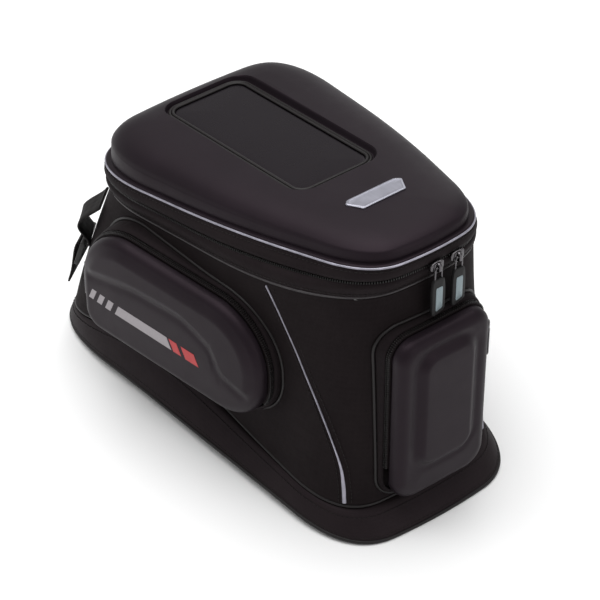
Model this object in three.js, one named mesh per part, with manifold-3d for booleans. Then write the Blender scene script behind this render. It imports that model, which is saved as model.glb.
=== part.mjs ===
import * as THREE from 'three';
import { LoftGeometry } from 'three/addons/geometries/LoftGeometry.js';
import { mergeVertices } from 'three/addons/utils/BufferGeometryUtils.js';
import Module from 'manifold-3d';

const wasm = await Module();
wasm.setup();

// Millimetres. +Z is up, +Y is the front (steering head), -Y faces the rider.
const GAP = 0.3;
const WALL_THICK = 2.4;
const SHELL_THICK = 3.0;
const PIPING_RADIUS = 1.9;
const COIL_RADIUS = 1.2;
const SADDLE_RISE = 11;
const SADDLE_REACH = 210.9;
const SKIRT_HEIGHT = 22;
const SKIRT_WAVE = { rise: 20, y: 65, spread: 85 };
const ZIP_SPLIT = 0.5;

// Plan outlines at four levels: y of front, waist and rear, half widths there, corner cuts.
const HEM = { yf: 205.2, ym: -20, yr: -202, wf: 120, wm: 109, wr: 92, cf: 100, cm: 45, cr: 66, crown: 8 };
const SEAM = { yf: 189, ym: 8, yr: -182, wf: 121, wm: 87, wr: 88, cf: 68, cm: 60, cr: 62, crown: 6 };
const LOWER = { yf: 139, ym: -100, yr: -176, wf: 106, wm: 96, wr: 58, cf: 82, cm: 70, cr: 50, crown: 7 };
const UPPER = { yf: 141, ym: -45, yr: -180, wf: 110, wm: 90.5, wr: 58, cf: 82, cm: 61, cr: 47, crown: 8 };

const LOWER_Z = 203.8;
const LOWER_SLOPE = -0.175;
const UPPER_Z = 230.6;
const UPPER_SLOPE = -0.185;

// Lid dome: inset from the piping against the share of the crown height reached.
const DOME = [[0, 0.06], [1.8, 0.3], [6, 0.55], [13, 0.76], [24, 0.9], [38, 0.97], [55, 1.0]];
const CROWN_HEIGHT = 27.2;
const CROWN_SLOPE = 0.054;

const WINDOW = { y0: -66, y1: 113, half: 35, z: 253.5, slope: -0.135, radius: 10, thick: 1.6 };
const RECESS_MARGIN = 11;
const EMBLEM = { y0: -126, y1: -108, front: 28, rear: 21, thick: 1.4 };

// Corner radii run front top, rear top, rear bottom, front bottom.
const SIDE_POCKET = {
  y: 2, z: 128, length: 206, height: 108, radii: [53.5, 53.5, 46, 17], wallX: 96, toe: 0.157,
};
const REAR_POCKET = { z: 116, length: 92, height: 164, radii: [17, 17, 20, 20], y: -206 };

const RING = { y: 0, outer: 66, inner: 44, z0: 3, screws: 4, screwRadius: 2.5, boltCircle: 55 };

// Pocket layers measured out from the pocket's own plane: gusset lip, two zip halves, shell rim, face.
const SIDE_LAYERS = {
  root: -30, lip: 12, zipFixed: 13.3, zipMoving: 15.5, rim: 16.8, face: 29, rise: 2.5, bevel: 9,
};
const REAR_LAYERS = {
  root: -44, lip: -17, zipFixed: -15.7, zipMoving: -13.5, rim: -12.2, face: 1, rise: 4, bevel: 9,
};

const MAIN_SLIDERS = { left: 0, right: 21 };
const STRAP = { x: 90, width: 25, thick: 2.2, top: 0.87, bottom: 0.52 };
const HANDLE = {
  half: 62, width: 25, thick: 3, z: 150, reach: 30, patchWidth: 26, patchLow: 124, patchHigh: 174,
};

const COLOURS = {
  eva: [0x2b282b, 0.0, 0.62],
  fabric: [0x1f1d1f, 0.0, 0.85],
  tape: [0x1a191a, 0.0, 0.8],
  coil: [0x111111, 0.1, 0.5],
  piping: [0xb9bac2, 0.2, 0.4],
  webbing: [0x191819, 0.0, 0.85],
  window: [0x2b2930, 0.0, 0.25],
  rubber: [0x222124, 0.0, 0.6],
  metal: [0x8f9094, 0.9, 0.35],
  emblem: [0xc9cacd, 0.9, 0.3],
  plastic: [0x151515, 0.0, 0.5],
  board: [0x3a3a3c, 0.0, 0.8],
};

const group = new THREE.Group();

function material(name) {
  const [color, metalness, roughness] = COLOURS[name];
  return new THREE.MeshStandardMaterial({ color, metalness, roughness });
}

function add(name, geometry, finish) {
  const mesh = new THREE.Mesh(geometry, material(finish));
  mesh.name = name;
  group.add(mesh);
}

// ---- solids ------------------------------------------------------------------------------

function toSolid(geometry) {
  const bare = new THREE.BufferGeometry();
  bare.setAttribute('position', geometry.getAttribute('position'));
  bare.setIndex(geometry.getIndex());
  const merged = mergeVertices(bare, 1e-4);
  const index = merged.getIndex().array;
  const point = (i) => new THREE.Vector3().fromBufferAttribute(merged.getAttribute('position'), i);
  const kept = [];
  let volume = 0;
  for (let i = 0; i < index.length; i += 3) {
    const [a, b, c] = index.slice(i, i + 3);
    if (a !== b && b !== c && a !== c) {
      kept.push([a, b, c]);
      volume += point(a).dot(point(b).cross(point(c)));
    }
  }
  const faces = volume > 0 ? kept : kept.map(([a, b, c]) => [a, c, b]);
  return new wasm.Manifold(new wasm.Mesh({
    numProp: 3,
    vertProperties: new Float32Array(merged.getAttribute('position').array),
    triVerts: new Uint32Array(faces.flat()),
  }));
}

function toGeometry(solid) {
  const mesh = solid.getMesh();
  const geometry = new THREE.BufferGeometry();
  const verts = new Float32Array(mesh.numVert * 3);
  for (let i = 0; i < mesh.numVert; i += 1) {
    verts.set(mesh.vertProperties.subarray(i * mesh.numProp, i * mesh.numProp + 3), 3 * i);
  }
  geometry.setAttribute('position', new THREE.BufferAttribute(verts, 3));
  geometry.setIndex(new THREE.BufferAttribute(new Uint32Array(mesh.triVerts), 1));
  const faceted = geometry.toNonIndexed();
  faceted.computeVertexNormals();
  return faceted;
}

// Skins a list of rings with equal point counts. Wrapped rings make a hoop; otherwise each end
// closes on the middle of its ring.
function stack(rings, wrapped) {
  const rows = wrapped ? [...rings, rings[0]] : [middle(rings[0]), ...rings, middle(rings[rings.length - 1])];
  return toSolid(new LoftGeometry(rows));
}

function middle(ring) {
  const centre = new THREE.Vector3();
  ring.forEach((p) => centre.addScaledVector(p, 1 / ring.length));
  return ring.map(() => centre);
}

// Sweeps a flat section along a path; side and up give the section axes at every point.
function sweep(path, side, up, section, closed) {
  const rings = path.map((p, i) => section.map(([a, b]) => (
    p.clone().addScaledVector(side(i), a).addScaledVector(up(i), b))));
  return stack(rings, closed);
}

function circle(radius, count) {
  return Array.from({ length: count }, (_, i) => {
    const a = (2 * Math.PI * i) / count;
    return [radius * Math.cos(a), radius * Math.sin(a)];
  });
}

function bar(width, thick) {
  return [[-width / 2, -thick / 2], [width / 2, -thick / 2], [width / 2, thick / 2], [-width / 2, thick / 2]];
}

// ---- the bag outline ---------------------------------------------------------------------

const CORNER_STEPS = 4;
const RUN_POINTS = [0, 2, 2, 0, 0, 2, 2, 0];

function outline(s) {
  const corners = [
    [0, s.yf + s.crown], [s.wf, s.yf], [s.wm, s.ym], [s.wr, s.yr],
    [0, s.yr - s.crown], [-s.wr, s.yr], [-s.wm, s.ym], [-s.wf, s.yf],
  ].map(([x, y]) => new THREE.Vector2(x, y));
  const cuts = [200, s.cf, s.cm, s.cr, 200, s.cr, s.cm, s.cf];
  const starts = [];
  const ends = [];
  corners.forEach((b, i) => {
    const before = corners[(i + 7) % 8];
    const after = corners[(i + 1) % 8];
    starts.push(toward(b, before, cuts[i]));
    ends.push(toward(b, after, cuts[i]));
  });
  const points = [];
  corners.forEach((b, i) => {
    for (let k = 0; k < CORNER_STEPS; k += 1) {
      const t = k / (CORNER_STEPS - 1);
      const p = starts[i].clone().multiplyScalar((1 - t) ** 2);
      p.addScaledVector(b, 2 * t * (1 - t)).addScaledVector(ends[i], t * t);
      points.push(p);
    }
    for (let k = 1; k <= RUN_POINTS[i]; k += 1) {
      points.push(ends[i].clone().lerp(starts[(i + 1) % 8], k / (RUN_POINTS[i] + 1)));
    }
  });
  return points;
}

function toward(corner, other, cut) {
  const reach = Math.min(cut, 0.49 * corner.distanceTo(other));
  return corner.clone().lerp(other, reach / corner.distanceTo(other));
}

function inset(s, d) {
  const next = { ...s };
  next.yf -= d;
  next.yr += d;
  for (const key of ['wf', 'wm', 'wr']) {
    next[key] -= d;
  }
  for (const key of ['cf', 'cm', 'cr']) {
    next[key] -= 0.35 * d;
  }
  return next;
}

function mix(a, b, t) {
  const out = {};
  for (const key of Object.keys(a)) {
    out[key] = a[key] * (1 - t) + b[key] * t;
  }
  return out;
}

function lift(s, height) {
  return outline(s).map((p) => new THREE.Vector3(p.x, p.y, height(p.x, p.y)));
}

function saddle(y) {
  return SADDLE_RISE * (1 - Math.min(1, (y / SADDLE_REACH) ** 2));
}

// The skirt stands taller beside the front half of the bag.
function skirtHeight(y) {
  return SKIRT_HEIGHT + SKIRT_WAVE.rise * Math.exp(-(((y - SKIRT_WAVE.y) / SKIRT_WAVE.spread) ** 2));
}

function skirtRing(t, d) {
  return lift(inset(mix(HEM, SEAM, t), d), (x, y) => saddle(y) + t * skirtHeight(y));
}

function wallShape(t) {
  return inset(mix(SEAM, LOWER, t), -1.5 * Math.sin(Math.PI * t));
}

function wallRing(t, d) {
  return lift(inset(wallShape(t), d), (x, y) => (
    (saddle(y) + skirtHeight(y)) * (1 - t) + (LOWER_Z + LOWER_SLOPE * y) * t));
}

function bandRing(t, d) {
  return lift(inset(mix(LOWER, UPPER, t), d - 1.5 * Math.sin(Math.PI * t)), (x, y) => (
    (LOWER_Z + LOWER_SLOPE * y) * (1 - t) + (UPPER_Z + UPPER_SLOPE * y) * t));
}

function domeHeight(y) {
  return CROWN_HEIGHT + CROWN_SLOPE * y;
}

function domeRing(step, d) {
  const [reach, share] = DOME[step];
  return lift(inset(UPPER, reach + d * (1 - share)), (x, y) => (
    UPPER_Z + UPPER_SLOPE * y + PIPING_RADIUS + GAP + share * domeHeight(y) - d * share));
}

function range(from, to, steps) {
  return Array.from({ length: steps + 1 }, (_, i) => from + ((to - from) * i) / steps);
}

function hoop(outer, inner) {
  return stack([...outer, ...inner.reverse()], true);
}

function radialFrame(ring) {
  const up = new THREE.Vector3(0, 0, 1);
  return ring.map((p, i) => {
    const before = ring[(i + ring.length - 1) % ring.length];
    const after = ring[(i + 1) % ring.length];
    return new THREE.Vector3().subVectors(after, before).cross(up).normalize().negate();
  });
}

function cordOn(ring, radius, sides, out) {
  const frame = radialFrame(ring);
  const path = ring.map((p, i) => p.clone().addScaledVector(frame[i], out));
  return sweep(path, (i) => frame[i], () => new THREE.Vector3(0, 0, 1), circle(radius, sides), true);
}

// Solid block filling the body between two wall levels, grown outwards by `grow`.
function bodyBlock(grow) {
  return stack(range(0, 1, 5).map((t) => wallRing(t, -grow)), false);
}

function domeBlock(d) {
  return stack(DOME.map((_, i) => domeRing(i, d)), false);
}

// ---- local frames ------------------------------------------------------------------------

function frameOf(origin, u, v) {
  const n = new THREE.Vector3().crossVectors(u, v);
  const matrix = new THREE.Matrix4().makeBasis(u, v, n);
  matrix.setPosition(origin);
  return matrix;
}

function place(solid, matrix) {
  return solid.transform(matrix.elements);
}

// Rounded rectangle about the local origin. radii run from the +x +y corner anticlockwise.
function roundedShape(width, height, radii) {
  const [x, y] = [width / 2, height / 2];
  const most = Math.min(x, y) - 0.01;
  const given = Array.isArray(radii) ? radii : [radii, radii, radii, radii];
  const r = given.map((value) => Math.min(value, most));
  const shape = new THREE.Shape();
  shape.absarc(x - r[0], y - r[0], r[0], 0, Math.PI / 2, false);
  shape.absarc(r[1] - x, y - r[1], r[1], Math.PI / 2, Math.PI, false);
  shape.absarc(r[2] - x, r[2] - y, r[2], Math.PI, 1.5 * Math.PI, false);
  shape.absarc(x - r[3], r[3] - y, r[3], 1.5 * Math.PI, 2 * Math.PI, false);
  return shape;
}

function grow(radii, d) {
  return (Array.isArray(radii) ? radii : [radii, radii, radii, radii]).map((r) => Math.max(r + d, 1));
}

function roundedLoop(width, height, radius, steps, depth) {
  const points = roundedShape(width, height, radius).getPoints(steps);
  return points.map((p) => new THREE.Vector3(p.x, p.y, depth));
}

// Prism of a rounded rectangle centred on the local origin from z0 to z1.
function slab(width, height, radius, z0, z1, steps = 2) {
  const options = { depth: z1 - z0, bevelEnabled: false, curveSegments: steps };
  const geometry = new THREE.ExtrudeGeometry(roundedShape(width, height, radius), options);
  return toSolid(geometry.translate(0, 0, z0));
}

function frameRing(width, height, radius, rim, z0, z1, steps = 2) {
  const shape = roundedShape(width, height, radius);
  shape.holes.push(roundedShape(width - 2 * rim, height - 2 * rim, grow(radius, -rim)));
  const options = { depth: z1 - z0, bevelEnabled: false, curveSegments: steps };
  return toSolid(new THREE.ExtrudeGeometry(shape, options).translate(0, 0, z0));
}

function cylinder(radius, z0, z1, x, y, sides = 16) {
  const geometry = new THREE.CylinderGeometry(radius, radius, z1 - z0, sides);
  return toSolid(geometry.rotateX(Math.PI / 2).translate(x, y, (z0 + z1) / 2));
}

// ---- body --------------------------------------------------------------------------------

function baseSkirt() {
  const top = 1 - (PIPING_RADIUS + GAP) / SKIRT_HEIGHT;
  const levels = range(0, top, 2);
  return hoop(levels.map((t) => skirtRing(t, 0)), levels.map((t) => skirtRing(t, SHELL_THICK)));
}

function tubWall() {
  const levels = range(0.016, 0.984, 5);
  return hoop(levels.map((t) => wallRing(t, 0)), levels.map((t) => wallRing(t, WALL_THICK)));
}

function saddlePlate(shape, z0, z1) {
  const rim = outline(shape).filter((_, i) => i % 2 === 0);
  const scaled = (p, z, k) => new THREE.Vector3(p.x * k, p.y * k, saddle(p.y * k) + z);
  const at = (z, k) => rim.map((p) => scaled(p, z, k));
  const scales = [0.3, 0.65, 1];
  const lower = scales.map((k) => at(z0, k));
  const upper = scales.map((k) => at(z1, k)).reverse();
  return stack([...lower, ...upper], false);
}

function basePan() {
  let pan = saddlePlate(inset(HEM, SHELL_THICK + 7), 4, 7);
  for (const [x, y] of screwSpots()) {
    pan = pan.subtract(cylinder(RING.screwRadius + GAP, 0, 40, x, y, 12));
  }
  return pan;
}

function floorBoard() {
  const board = saddlePlate(inset(HEM, 20), 8.2, 10.4);
  return board.subtract(cylinder(RING.outer + 6, 0, 40, 0, RING.y, 28));
}

function screwSpots() {
  return Array.from({ length: RING.screws }, (_, i) => {
    const a = (2 * Math.PI * (i + 0.5)) / RING.screws;
    return [RING.boltCircle * Math.cos(a), RING.y + RING.boltCircle * Math.sin(a)];
  });
}

function ringZ() {
  return saddle(RING.outer) + 4 - GAP - 0.6;
}

function quickReleaseRing() {
  const top = ringZ();
  let ring = cylinder(RING.outer, RING.z0, top, 0, RING.y, 28);
  ring = ring.subtract(cylinder(RING.inner, RING.z0 - 1, top + 1, 0, RING.y, 28));
  ring = ring.subtract(cylinder(RING.inner + 5, RING.z0 + 3.5, top - 3, 0, RING.y, 28));
  const slot = slab(19, 40, 1, RING.z0 + 2.5, RING.z0 + 7.5, 1).translate([0, RING.y - RING.outer + 5, 0]);
  ring = ring.subtract(slot);
  for (const [x, y] of screwSpots()) {
    ring = ring.subtract(cylinder(RING.screwRadius + GAP, 0, 40, x, y, 12));
    ring = ring.subtract(cylinder(4.9, RING.z0 - 1, RING.z0 + 2.4, x, y, 12));
  }
  return ring;
}

function ringScrew([x, y]) {
  const shank = cylinder(RING.screwRadius, RING.z0 + 1, saddle(0) + 11, x, y, 10);
  return shank.add(cylinder(4.5, RING.z0 + 0.2, RING.z0 + 2.1, x, y, 12));
}

function backingPlate() {
  const z0 = saddle(0) + 7 + GAP;
  let plate = cylinder(RING.outer + 4, z0, z0 + 2.5, 0, RING.y, 28);
  plate = plate.subtract(cylinder(RING.inner - 2, z0 - 1, z0 + 4, 0, RING.y, 28));
  for (const [x, y] of screwSpots()) {
    plate = plate.subtract(cylinder(RING.screwRadius + GAP, z0 - 1, z0 + 4, x, y, 12));
  }
  return plate;
}

function releaseButton() {
  const body = slab(17.5, 22, 3, 0, 4.2);
  const tip = slab(22, 5, 2, -1.6, 4.2).translate([0, -12.5, 0]);
  return body.add(tip).translate([0, RING.y - RING.outer + 5.5, RING.z0 + 2.9]);
}

// ---- zip bands ---------------------------------------------------------------------------

function zipTape(from, to) {
  const levels = range(from, to, 1);
  return hoop(levels.map((t) => bandRing(t, 0.6)), levels.map((t) => bandRing(t, 2.2)));
}

// One side of the coil: from the front left round the rear to the front right.
function zipCoil(t) {
  const ring = bandRing(t, 1.2);
  const frame = radialFrame(ring);
  const kept = ring.map((p, i) => i).filter((i) => ring[i].y < 100 || Math.abs(ring[i].x) > 60);
  const first = kept.findIndex((i) => !kept.includes(i - 1) && i > 0);
  const order = [...kept.slice(first), ...kept.slice(0, first)];
  const up = () => new THREE.Vector3(0, 0, 1);
  return sweep(order.map((i) => ring[i]), (i) => frame[order[i]], up, circle(COIL_RADIUS, 4), false);
}

function mainSliderFrame(x) {
  const ring = bandRing(ZIP_SPLIT, -COIL_RADIUS - GAP).filter((p) => p.y < 0);
  const near = ring.reduce((a, b) => (Math.abs(b.x - x) < Math.abs(a.x - x) ? b : a));
  const origin = new THREE.Vector3(x, near.y - 1, near.z);
  return frameOf(origin, new THREE.Vector3(0, 0, 1), new THREE.Vector3(-1, 0, 0));
}

function hangingFrame(slide) {
  const origin = new THREE.Vector3(0, 0, SLIDER_BAIL).applyMatrix4(slide);
  const out = new THREE.Vector3(0, 0, 1).transformDirection(slide);
  const up = new THREE.Vector3(0, 0, 1);
  return frameOf(origin, new THREE.Vector3().crossVectors(up, out), up);
}

// ---- lid ---------------------------------------------------------------------------------

function windowFrame() {
  const tilt = Math.atan(WINDOW.slope);
  const u = new THREE.Vector3(1, 0, 0);
  const v = new THREE.Vector3(0, Math.cos(tilt), Math.sin(tilt));
  const y = (WINDOW.y0 + WINDOW.y1) / 2;
  const origin = new THREE.Vector3(0, y, WINDOW.z + WINDOW.slope * y);
  return frameOf(origin, u, v);
}

const WINDOW_LENGTH = WINDOW.y1 - WINDOW.y0;

function lidShell() {
  const width = 2 * (WINDOW.half + RECESS_MARGIN);
  const length = WINDOW_LENGTH + 2 * RECESS_MARGIN;
  const recess = place(slab(width, length, WINDOW.radius + RECESS_MARGIN, -1.5, 60), windowFrame());
  const underside = slab(width + 5, length + 5, WINDOW.radius + RECESS_MARGIN, -1.5 - SHELL_THICK, 60);
  const under = place(underside, windowFrame());
  const opening = slab(2 * WINDOW.half - 8, WINDOW_LENGTH - 8, WINDOW.radius - 2, -30, 60);
  const hole = place(opening, windowFrame());
  const floor = place(slab(600, 900, 10, -300, 0), frameOf(
    new THREE.Vector3(0, 0, UPPER_Z + PIPING_RADIUS + 2 * GAP),
    new THREE.Vector3(1, 0, 0),
    new THREE.Vector3(0, 1, UPPER_SLOPE).normalize()));
  const outer = domeBlock(0).subtract(recess);
  const inner = domeBlock(SHELL_THICK).add(floorInside()).subtract(under);
  return outer.subtract(inner).subtract(hole).subtract(floor);
}

// The hollow carried down through the open rim of the lid.
function floorInside() {
  const top = domeRing(0, SHELL_THICK);
  const bottom = top.map((p) => p.clone().add(new THREE.Vector3(0, 0, -20)));
  return stack([bottom, top], false);
}

function windowPanel() {
  const w = 2 * WINDOW.half - 1;
  return place(slab(w, WINDOW_LENGTH - 1, WINDOW.radius, -1.2, -1.2 + WINDOW.thick), windowFrame());
}

function windowRim() {
  const w = 2 * WINDOW.half + 7;
  return place(frameRing(w, WINDOW_LENGTH + 7, WINDOW.radius + 3.5, 3.5, -1.2, 1.4), windowFrame());
}

function phoneTray() {
  const w = 2 * WINDOW.half + 8;
  const length = WINDOW_LENGTH + 8;
  const top = -1.5 - SHELL_THICK - GAP;
  let tray = slab(w, length, 12, top - 14, top);
  tray = tray.subtract(slab(w - 2.4, length - 2.4, 10.8, top - 12.8, top + 1));
  tray = tray.subtract(slab(w - 26, 20, 2, top - 12.8, top - 1.5).translate([0, -length / 2, 0]));
  return place(tray, windowFrame());
}

function phoneZipPiece() {
  const w = 2 * WINDOW.half - 14;
  const length = WINDOW_LENGTH + 8;
  const top = -1.5 - SHELL_THICK - GAP;
  const flap = slab(w, 10, 1.5, top - 14.5 - 1.8, top - 14 - GAP);
  return place(flap.translate([0, -length / 2 + 9, 0]), windowFrame());
}

function emblemPlate() {
  const [r, f, y0, y1] = [EMBLEM.rear, EMBLEM.front, EMBLEM.y0, EMBLEM.y1];
  const base = [[-r, y0], [r, y0], [f, y1 - 4], [f - 4, y1], [-f + 4, y1], [-f, y1 - 4]];
  const at = (z) => base.map(([x, y]) => new THREE.Vector3(x, y, z));
  const prism = stack([at(200), at(320)], false);
  return prism.intersect(domeBlock(-GAP - EMBLEM.thick)).subtract(domeBlock(-GAP));
}

// Fabric strip across the front that joins the two tapes where the zip ends.
function lidHinge() {
  const ring = bandRing(ZIP_SPLIT, 1.4);
  const path = ring.filter((p) => p.y > 0 && Math.abs(p.x) < 64).sort((p, q) => p.x - q.x);
  path[0].lerp(path[1], 0.12);
  path[path.length - 1].lerp(path[path.length - 2], 0.12);
  const side = () => new THREE.Vector3(0, 1, 0);
  return sweep(path, side, () => new THREE.Vector3(0, 0, 1), bar(1.4, 4.6), false);
}

// ---- pockets -----------------------------------------------------------------------------

function sidePocketFrame(sign) {
  const n = new THREE.Vector3(sign, -SIDE_POCKET.toe, 0).normalize();
  const v = new THREE.Vector3(0, 0, 1);
  const u = new THREE.Vector3().crossVectors(v, n);
  const x = SIDE_POCKET.wallX + SIDE_POCKET.toe * SIDE_POCKET.y;
  return frameOf(new THREE.Vector3(sign * x, SIDE_POCKET.y, SIDE_POCKET.z), u, v);
}

function rearPocketFrame() {
  const origin = new THREE.Vector3(0, REAR_POCKET.y, REAR_POCKET.z);
  return frameOf(origin, new THREE.Vector3(1, 0, 0), new THREE.Vector3(0, 0, 1));
}

function pocketGusset(p, frame, layers) {
  const ring = frameRing(p.length + 6, p.height + 6, grow(p.radii, 3), 2.2, layers.root, layers.lip);
  return place(ring, frame).subtract(bodyBlock(GAP)).subtract(bandBlock());
}

function bandBlock() {
  return stack(range(0, 1, 3).map((t) => bandRing(t, -2.4)), false);
}

// U-shaped half of a pocket zip: up one side, over the top and down the other side.
function pocketZip(p, frame, z) {
  const loop = roundedLoop(p.length + 3, p.height + 3, grow(p.radii, 1.5), 2, z);
  const drop = -0.3 * p.height;
  const path = loop.filter((q) => q.y >= drop);
  path.sort((a, b) => Math.atan2(a.y - drop + 4, a.x) - Math.atan2(b.y - drop + 4, b.x));
  const side = (i) => {
    const a = path[Math.max(i - 1, 0)];
    const b = path[Math.min(i + 1, path.length - 1)];
    return new THREE.Vector3(b.y - a.y, a.x - b.x, 0).normalize();
  };
  const up = () => new THREE.Vector3(0, 0, 1);
  return place(sweep(path, side, up, bar(2.6, 1.9), false), frame);
}

// Moulded tray, open towards the bag: rim, rounded shoulder, face and a raised plateau.
function pocketShell(p, frame, layers) {
  const { rim, face, rise, bevel } = layers;
  const profile = [[0, rim], [0, face - bevel], [bevel * 0.3, face - bevel * 0.35], [bevel, face - 0.6],
    [bevel + 7, face], [bevel + 13, face + rise]];
  const loops = (t) => profile.map(([d, z]) => {
    const shrink = 2 * (d + t);
    const level = z - (z > rim ? t : 0);
    return roundedLoop(p.length - shrink, p.height - shrink, grow(p.radii, -0.6 * d - t), 2, level);
  });
  const outer = loops(0);
  const inner = loops(2.4);
  return place(stack([...inner.reverse(), ...outer], false), frame);
}

const SLIDER_BAIL = 4.1;

// Slider with its running direction along local y and the bail above the body. A crosswise bail
// lets a pull hang at right angles to the zip.
function slider(crosswise) {
  const body = slab(9, 13, 2.4, 0, 2.6, 1);
  const bridge = crosswise ? slab(8.8, 3.2, 1, 2.4, 6.8, 1) : slab(3.2, 12.4, 1, 2.4, 6.8, 1);
  const eye = crosswise ? slab(5.4, 10, 0.4, 2.9, 5.4, 1) : slab(10, 9, 0.4, 2.9, 5.4, 1);
  return body.add(bridge.subtract(eye));
}

// Wire loop hanging from the local origin down local -y.
function wireLoop(width, length, radius) {
  const path = roundedLoop(width, length, width * 0.45, 1, 0).map((p) => p.setY(p.y - length / 2));
  const side = (i) => {
    const a = path[(i + path.length - 1) % path.length];
    const b = path[(i + 1) % path.length];
    return new THREE.Vector3(b.y - a.y, a.x - b.x, 0).normalize();
  };
  return sweep(path, side, () => new THREE.Vector3(0, 0, 1), circle(radius, 5), true);
}

function pullTab() {
  const tab = slab(13, 36, 4, -1.9, 1.9).translate([0, -28.5, 0]);
  return tab.subtract(wireLoop(6.4, 14, 0.8 + GAP));
}

// Zip slider on the side of a pocket, running up and down it.
function pocketSliderFrame(p, frame, sign, height, level) {
  const out = new THREE.Vector3(sign, 0, 0).transformDirection(frame);
  const up = new THREE.Vector3(0, 0, 1);
  const origin = new THREE.Vector3(sign * (p.length / 2 + 3.2), height, level).applyMatrix4(frame);
  return frameOf(origin, new THREE.Vector3().crossVectors(up, out), up);
}

// ---- straps and handle -------------------------------------------------------------------

function ribbon(path, width, thick, across) {
  const side = (i) => {
    const a = path[Math.max(i - 1, 0)];
    const b = path[Math.min(i + 1, path.length - 1)];
    return new THREE.Vector3().subVectors(b, a).cross(across).normalize();
  };
  return sweep(path, side, () => across, bar(thick, width), false);
}

// Point and outward direction on the front of the wall at share t of its height.
function frontSpot(t, x) {
  const ring = wallRing(t, 0);
  const frame = radialFrame(ring);
  const front = ring.map((p, i) => i).filter((i) => ring[i].y > 40);
  const near = front.reduce((a, b) => (Math.abs(ring[b].x - x) < Math.abs(ring[a].x - x) ? b : a));
  return { point: ring[near], out: frame[near] };
}

// Webbing loop on a front corner: sewn to the wall above and below, standing off between.
function strapLoop(sign) {
  const path = range(0, 1, 8).map((k) => {
    const t = STRAP.top + (STRAP.bottom - STRAP.top) * k;
    const { point, out } = frontSpot(t, sign * STRAP.x);
    const bulge = STRAP.thick / 2 + GAP + 0.5 + 13 * Math.sin(Math.PI * k) ** 1.4;
    return point.clone().addScaledVector(out, bulge);
  });
  const { out } = frontSpot(0.7, sign * STRAP.x);
  const across = new THREE.Vector3(0, 0, 1).cross(out).normalize();
  const webbing = ribbon(path, STRAP.width, STRAP.thick, across);
  return webbing.subtract(bodyBlock(GAP));
}

// The buckle lies along the sloping wall just under the webbing loop.
function ladderLockFrame(sign) {
  const { point, out } = frontSpot(0.42, sign * STRAP.x);
  const above = frontSpot(0.52, sign * STRAP.x).point;
  const across = new THREE.Vector3(0, 0, 1).cross(out).normalize();
  const up = above.sub(point).projectOnPlane(across).normalize();
  const away = new THREE.Vector3().crossVectors(across, up);
  return frameOf(point.clone().addScaledVector(away, 5), across, up);
}

function ladderLock(sign) {
  const body = slab(32, 26, 4, -2.2, 2.2).subtract(slab(25, 6, 1, -4, 4, 2).translate([0, 7, 0]));
  const cut = body.subtract(slab(25, 6, 1, -4, 4, 2).translate([0, -4.5, 0]));
  return place(cut, ladderLockFrame(sign));
}

function strapTail(sign) {
  const path = [[9, 3.8], [7, 5.2], [0, 5.6], [-10, 4.4], [-24, 2.6], [-38, 2.2]];
  const points = path.map(([y, z]) => new THREE.Vector3(0, y, z));
  return place(ribbon(points, 24, 1.8, new THREE.Vector3(1, 0, 0)), ladderLockFrame(sign));
}

function carryHandle() {
  const base = frontSpot(0.76, 0).point.y + HANDLE.thick / 2 + 3.4;
  const path = range(-1, 1, 16).map((k) => {
    const swell = Math.cos((Math.PI * k) / 2) ** 0.8;
    return new THREE.Vector3(HANDLE.half * k, base + HANDLE.reach * swell - 2.2 * (1 - swell), HANDLE.z);
  });
  return ribbon(path, HANDLE.width, HANDLE.thick, new THREE.Vector3(0, 0, 1));
}

// Sewn webbing patch that anchors one end of the handle.
function handlePatch(sign) {
  const { point } = frontSpot(0.76, sign * (HANDLE.half + 6));
  const { patchWidth, patchLow, patchHigh } = HANDLE;
  const patch = slab(patchWidth, 60, 4, patchLow, patchHigh).translate([point.x, point.y, 0]);
  return patch.intersect(bodyBlock(GAP + 2)).subtract(bodyBlock(GAP));
}

// Reflective seam cord on each flank: from the lower piping round to the rear corner.
const SEAM_TRACE = [
  [0.03, -171], [0.1, -170], [0.2, -167], [0.32, -158], [0.45, -145],
  [0.6, -128], [0.75, -113], [0.88, -102], [0.965, -95],
];

// Point and outward direction where one flank of the wall crosses a given y.
function flankSpot(t, y, sign) {
  const ring = wallRing(t, 0);
  const frame = radialFrame(ring);
  const next = (i) => (i + 1) % ring.length;
  const i = ring.findIndex((p, k) => sign * p.x > 20 && (p.y - y) * (ring[next(k)].y - y) <= 0);
  const k = (y - ring[i].y) / (ring[next(i)].y - ring[i].y);
  return {
    point: ring[i].clone().lerp(ring[next(i)], k),
    out: frame[i].clone().lerp(frame[next(i)], k).normalize(),
  };
}

function flankSeam(sign) {
  const spots = SEAM_TRACE.map(([t, y]) => flankSpot(t, y, sign));
  const path = spots.map(({ point, out }) => point.clone().addScaledVector(out, GAP + 1));
  const along = (i) => new THREE.Vector3().subVectors(
    path[Math.min(i + 1, path.length - 1)], path[Math.max(i - 1, 0)]).normalize();
  const across = (i) => new THREE.Vector3().crossVectors(along(i), spots[i].out).normalize();
  const strip = sweep(path, (i) => spots[i].out, across, bar(1.6, 3), false);
  return strip.subtract(bodyBlock(GAP));
}

function addPocket(label, p, layers, frame, sign, height) {
  add(`${label}_gusset`, toGeometry(pocketGusset(p, frame, layers)), 'tape');
  add(`${label}_zip_fixed`, toGeometry(pocketZip(p, frame, layers.zipFixed)), 'coil');
  add(`${label}_zip_moving`, toGeometry(pocketZip(p, frame, layers.zipMoving)), 'coil');
  add(`${label}_shell`, toGeometry(pocketShell(p, frame, layers)), 'eva');
  const slide = pocketSliderFrame(p, frame, sign, height, (layers.zipFixed + layers.zipMoving) / 2);
  add(`${label}_slider`, toGeometry(place(slider(false), slide)), 'metal');
  add(`${label}_pull`, toGeometry(place(wireLoop(6.4, 30, 0.8), hangingFrame(slide))), 'metal');
}

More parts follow.
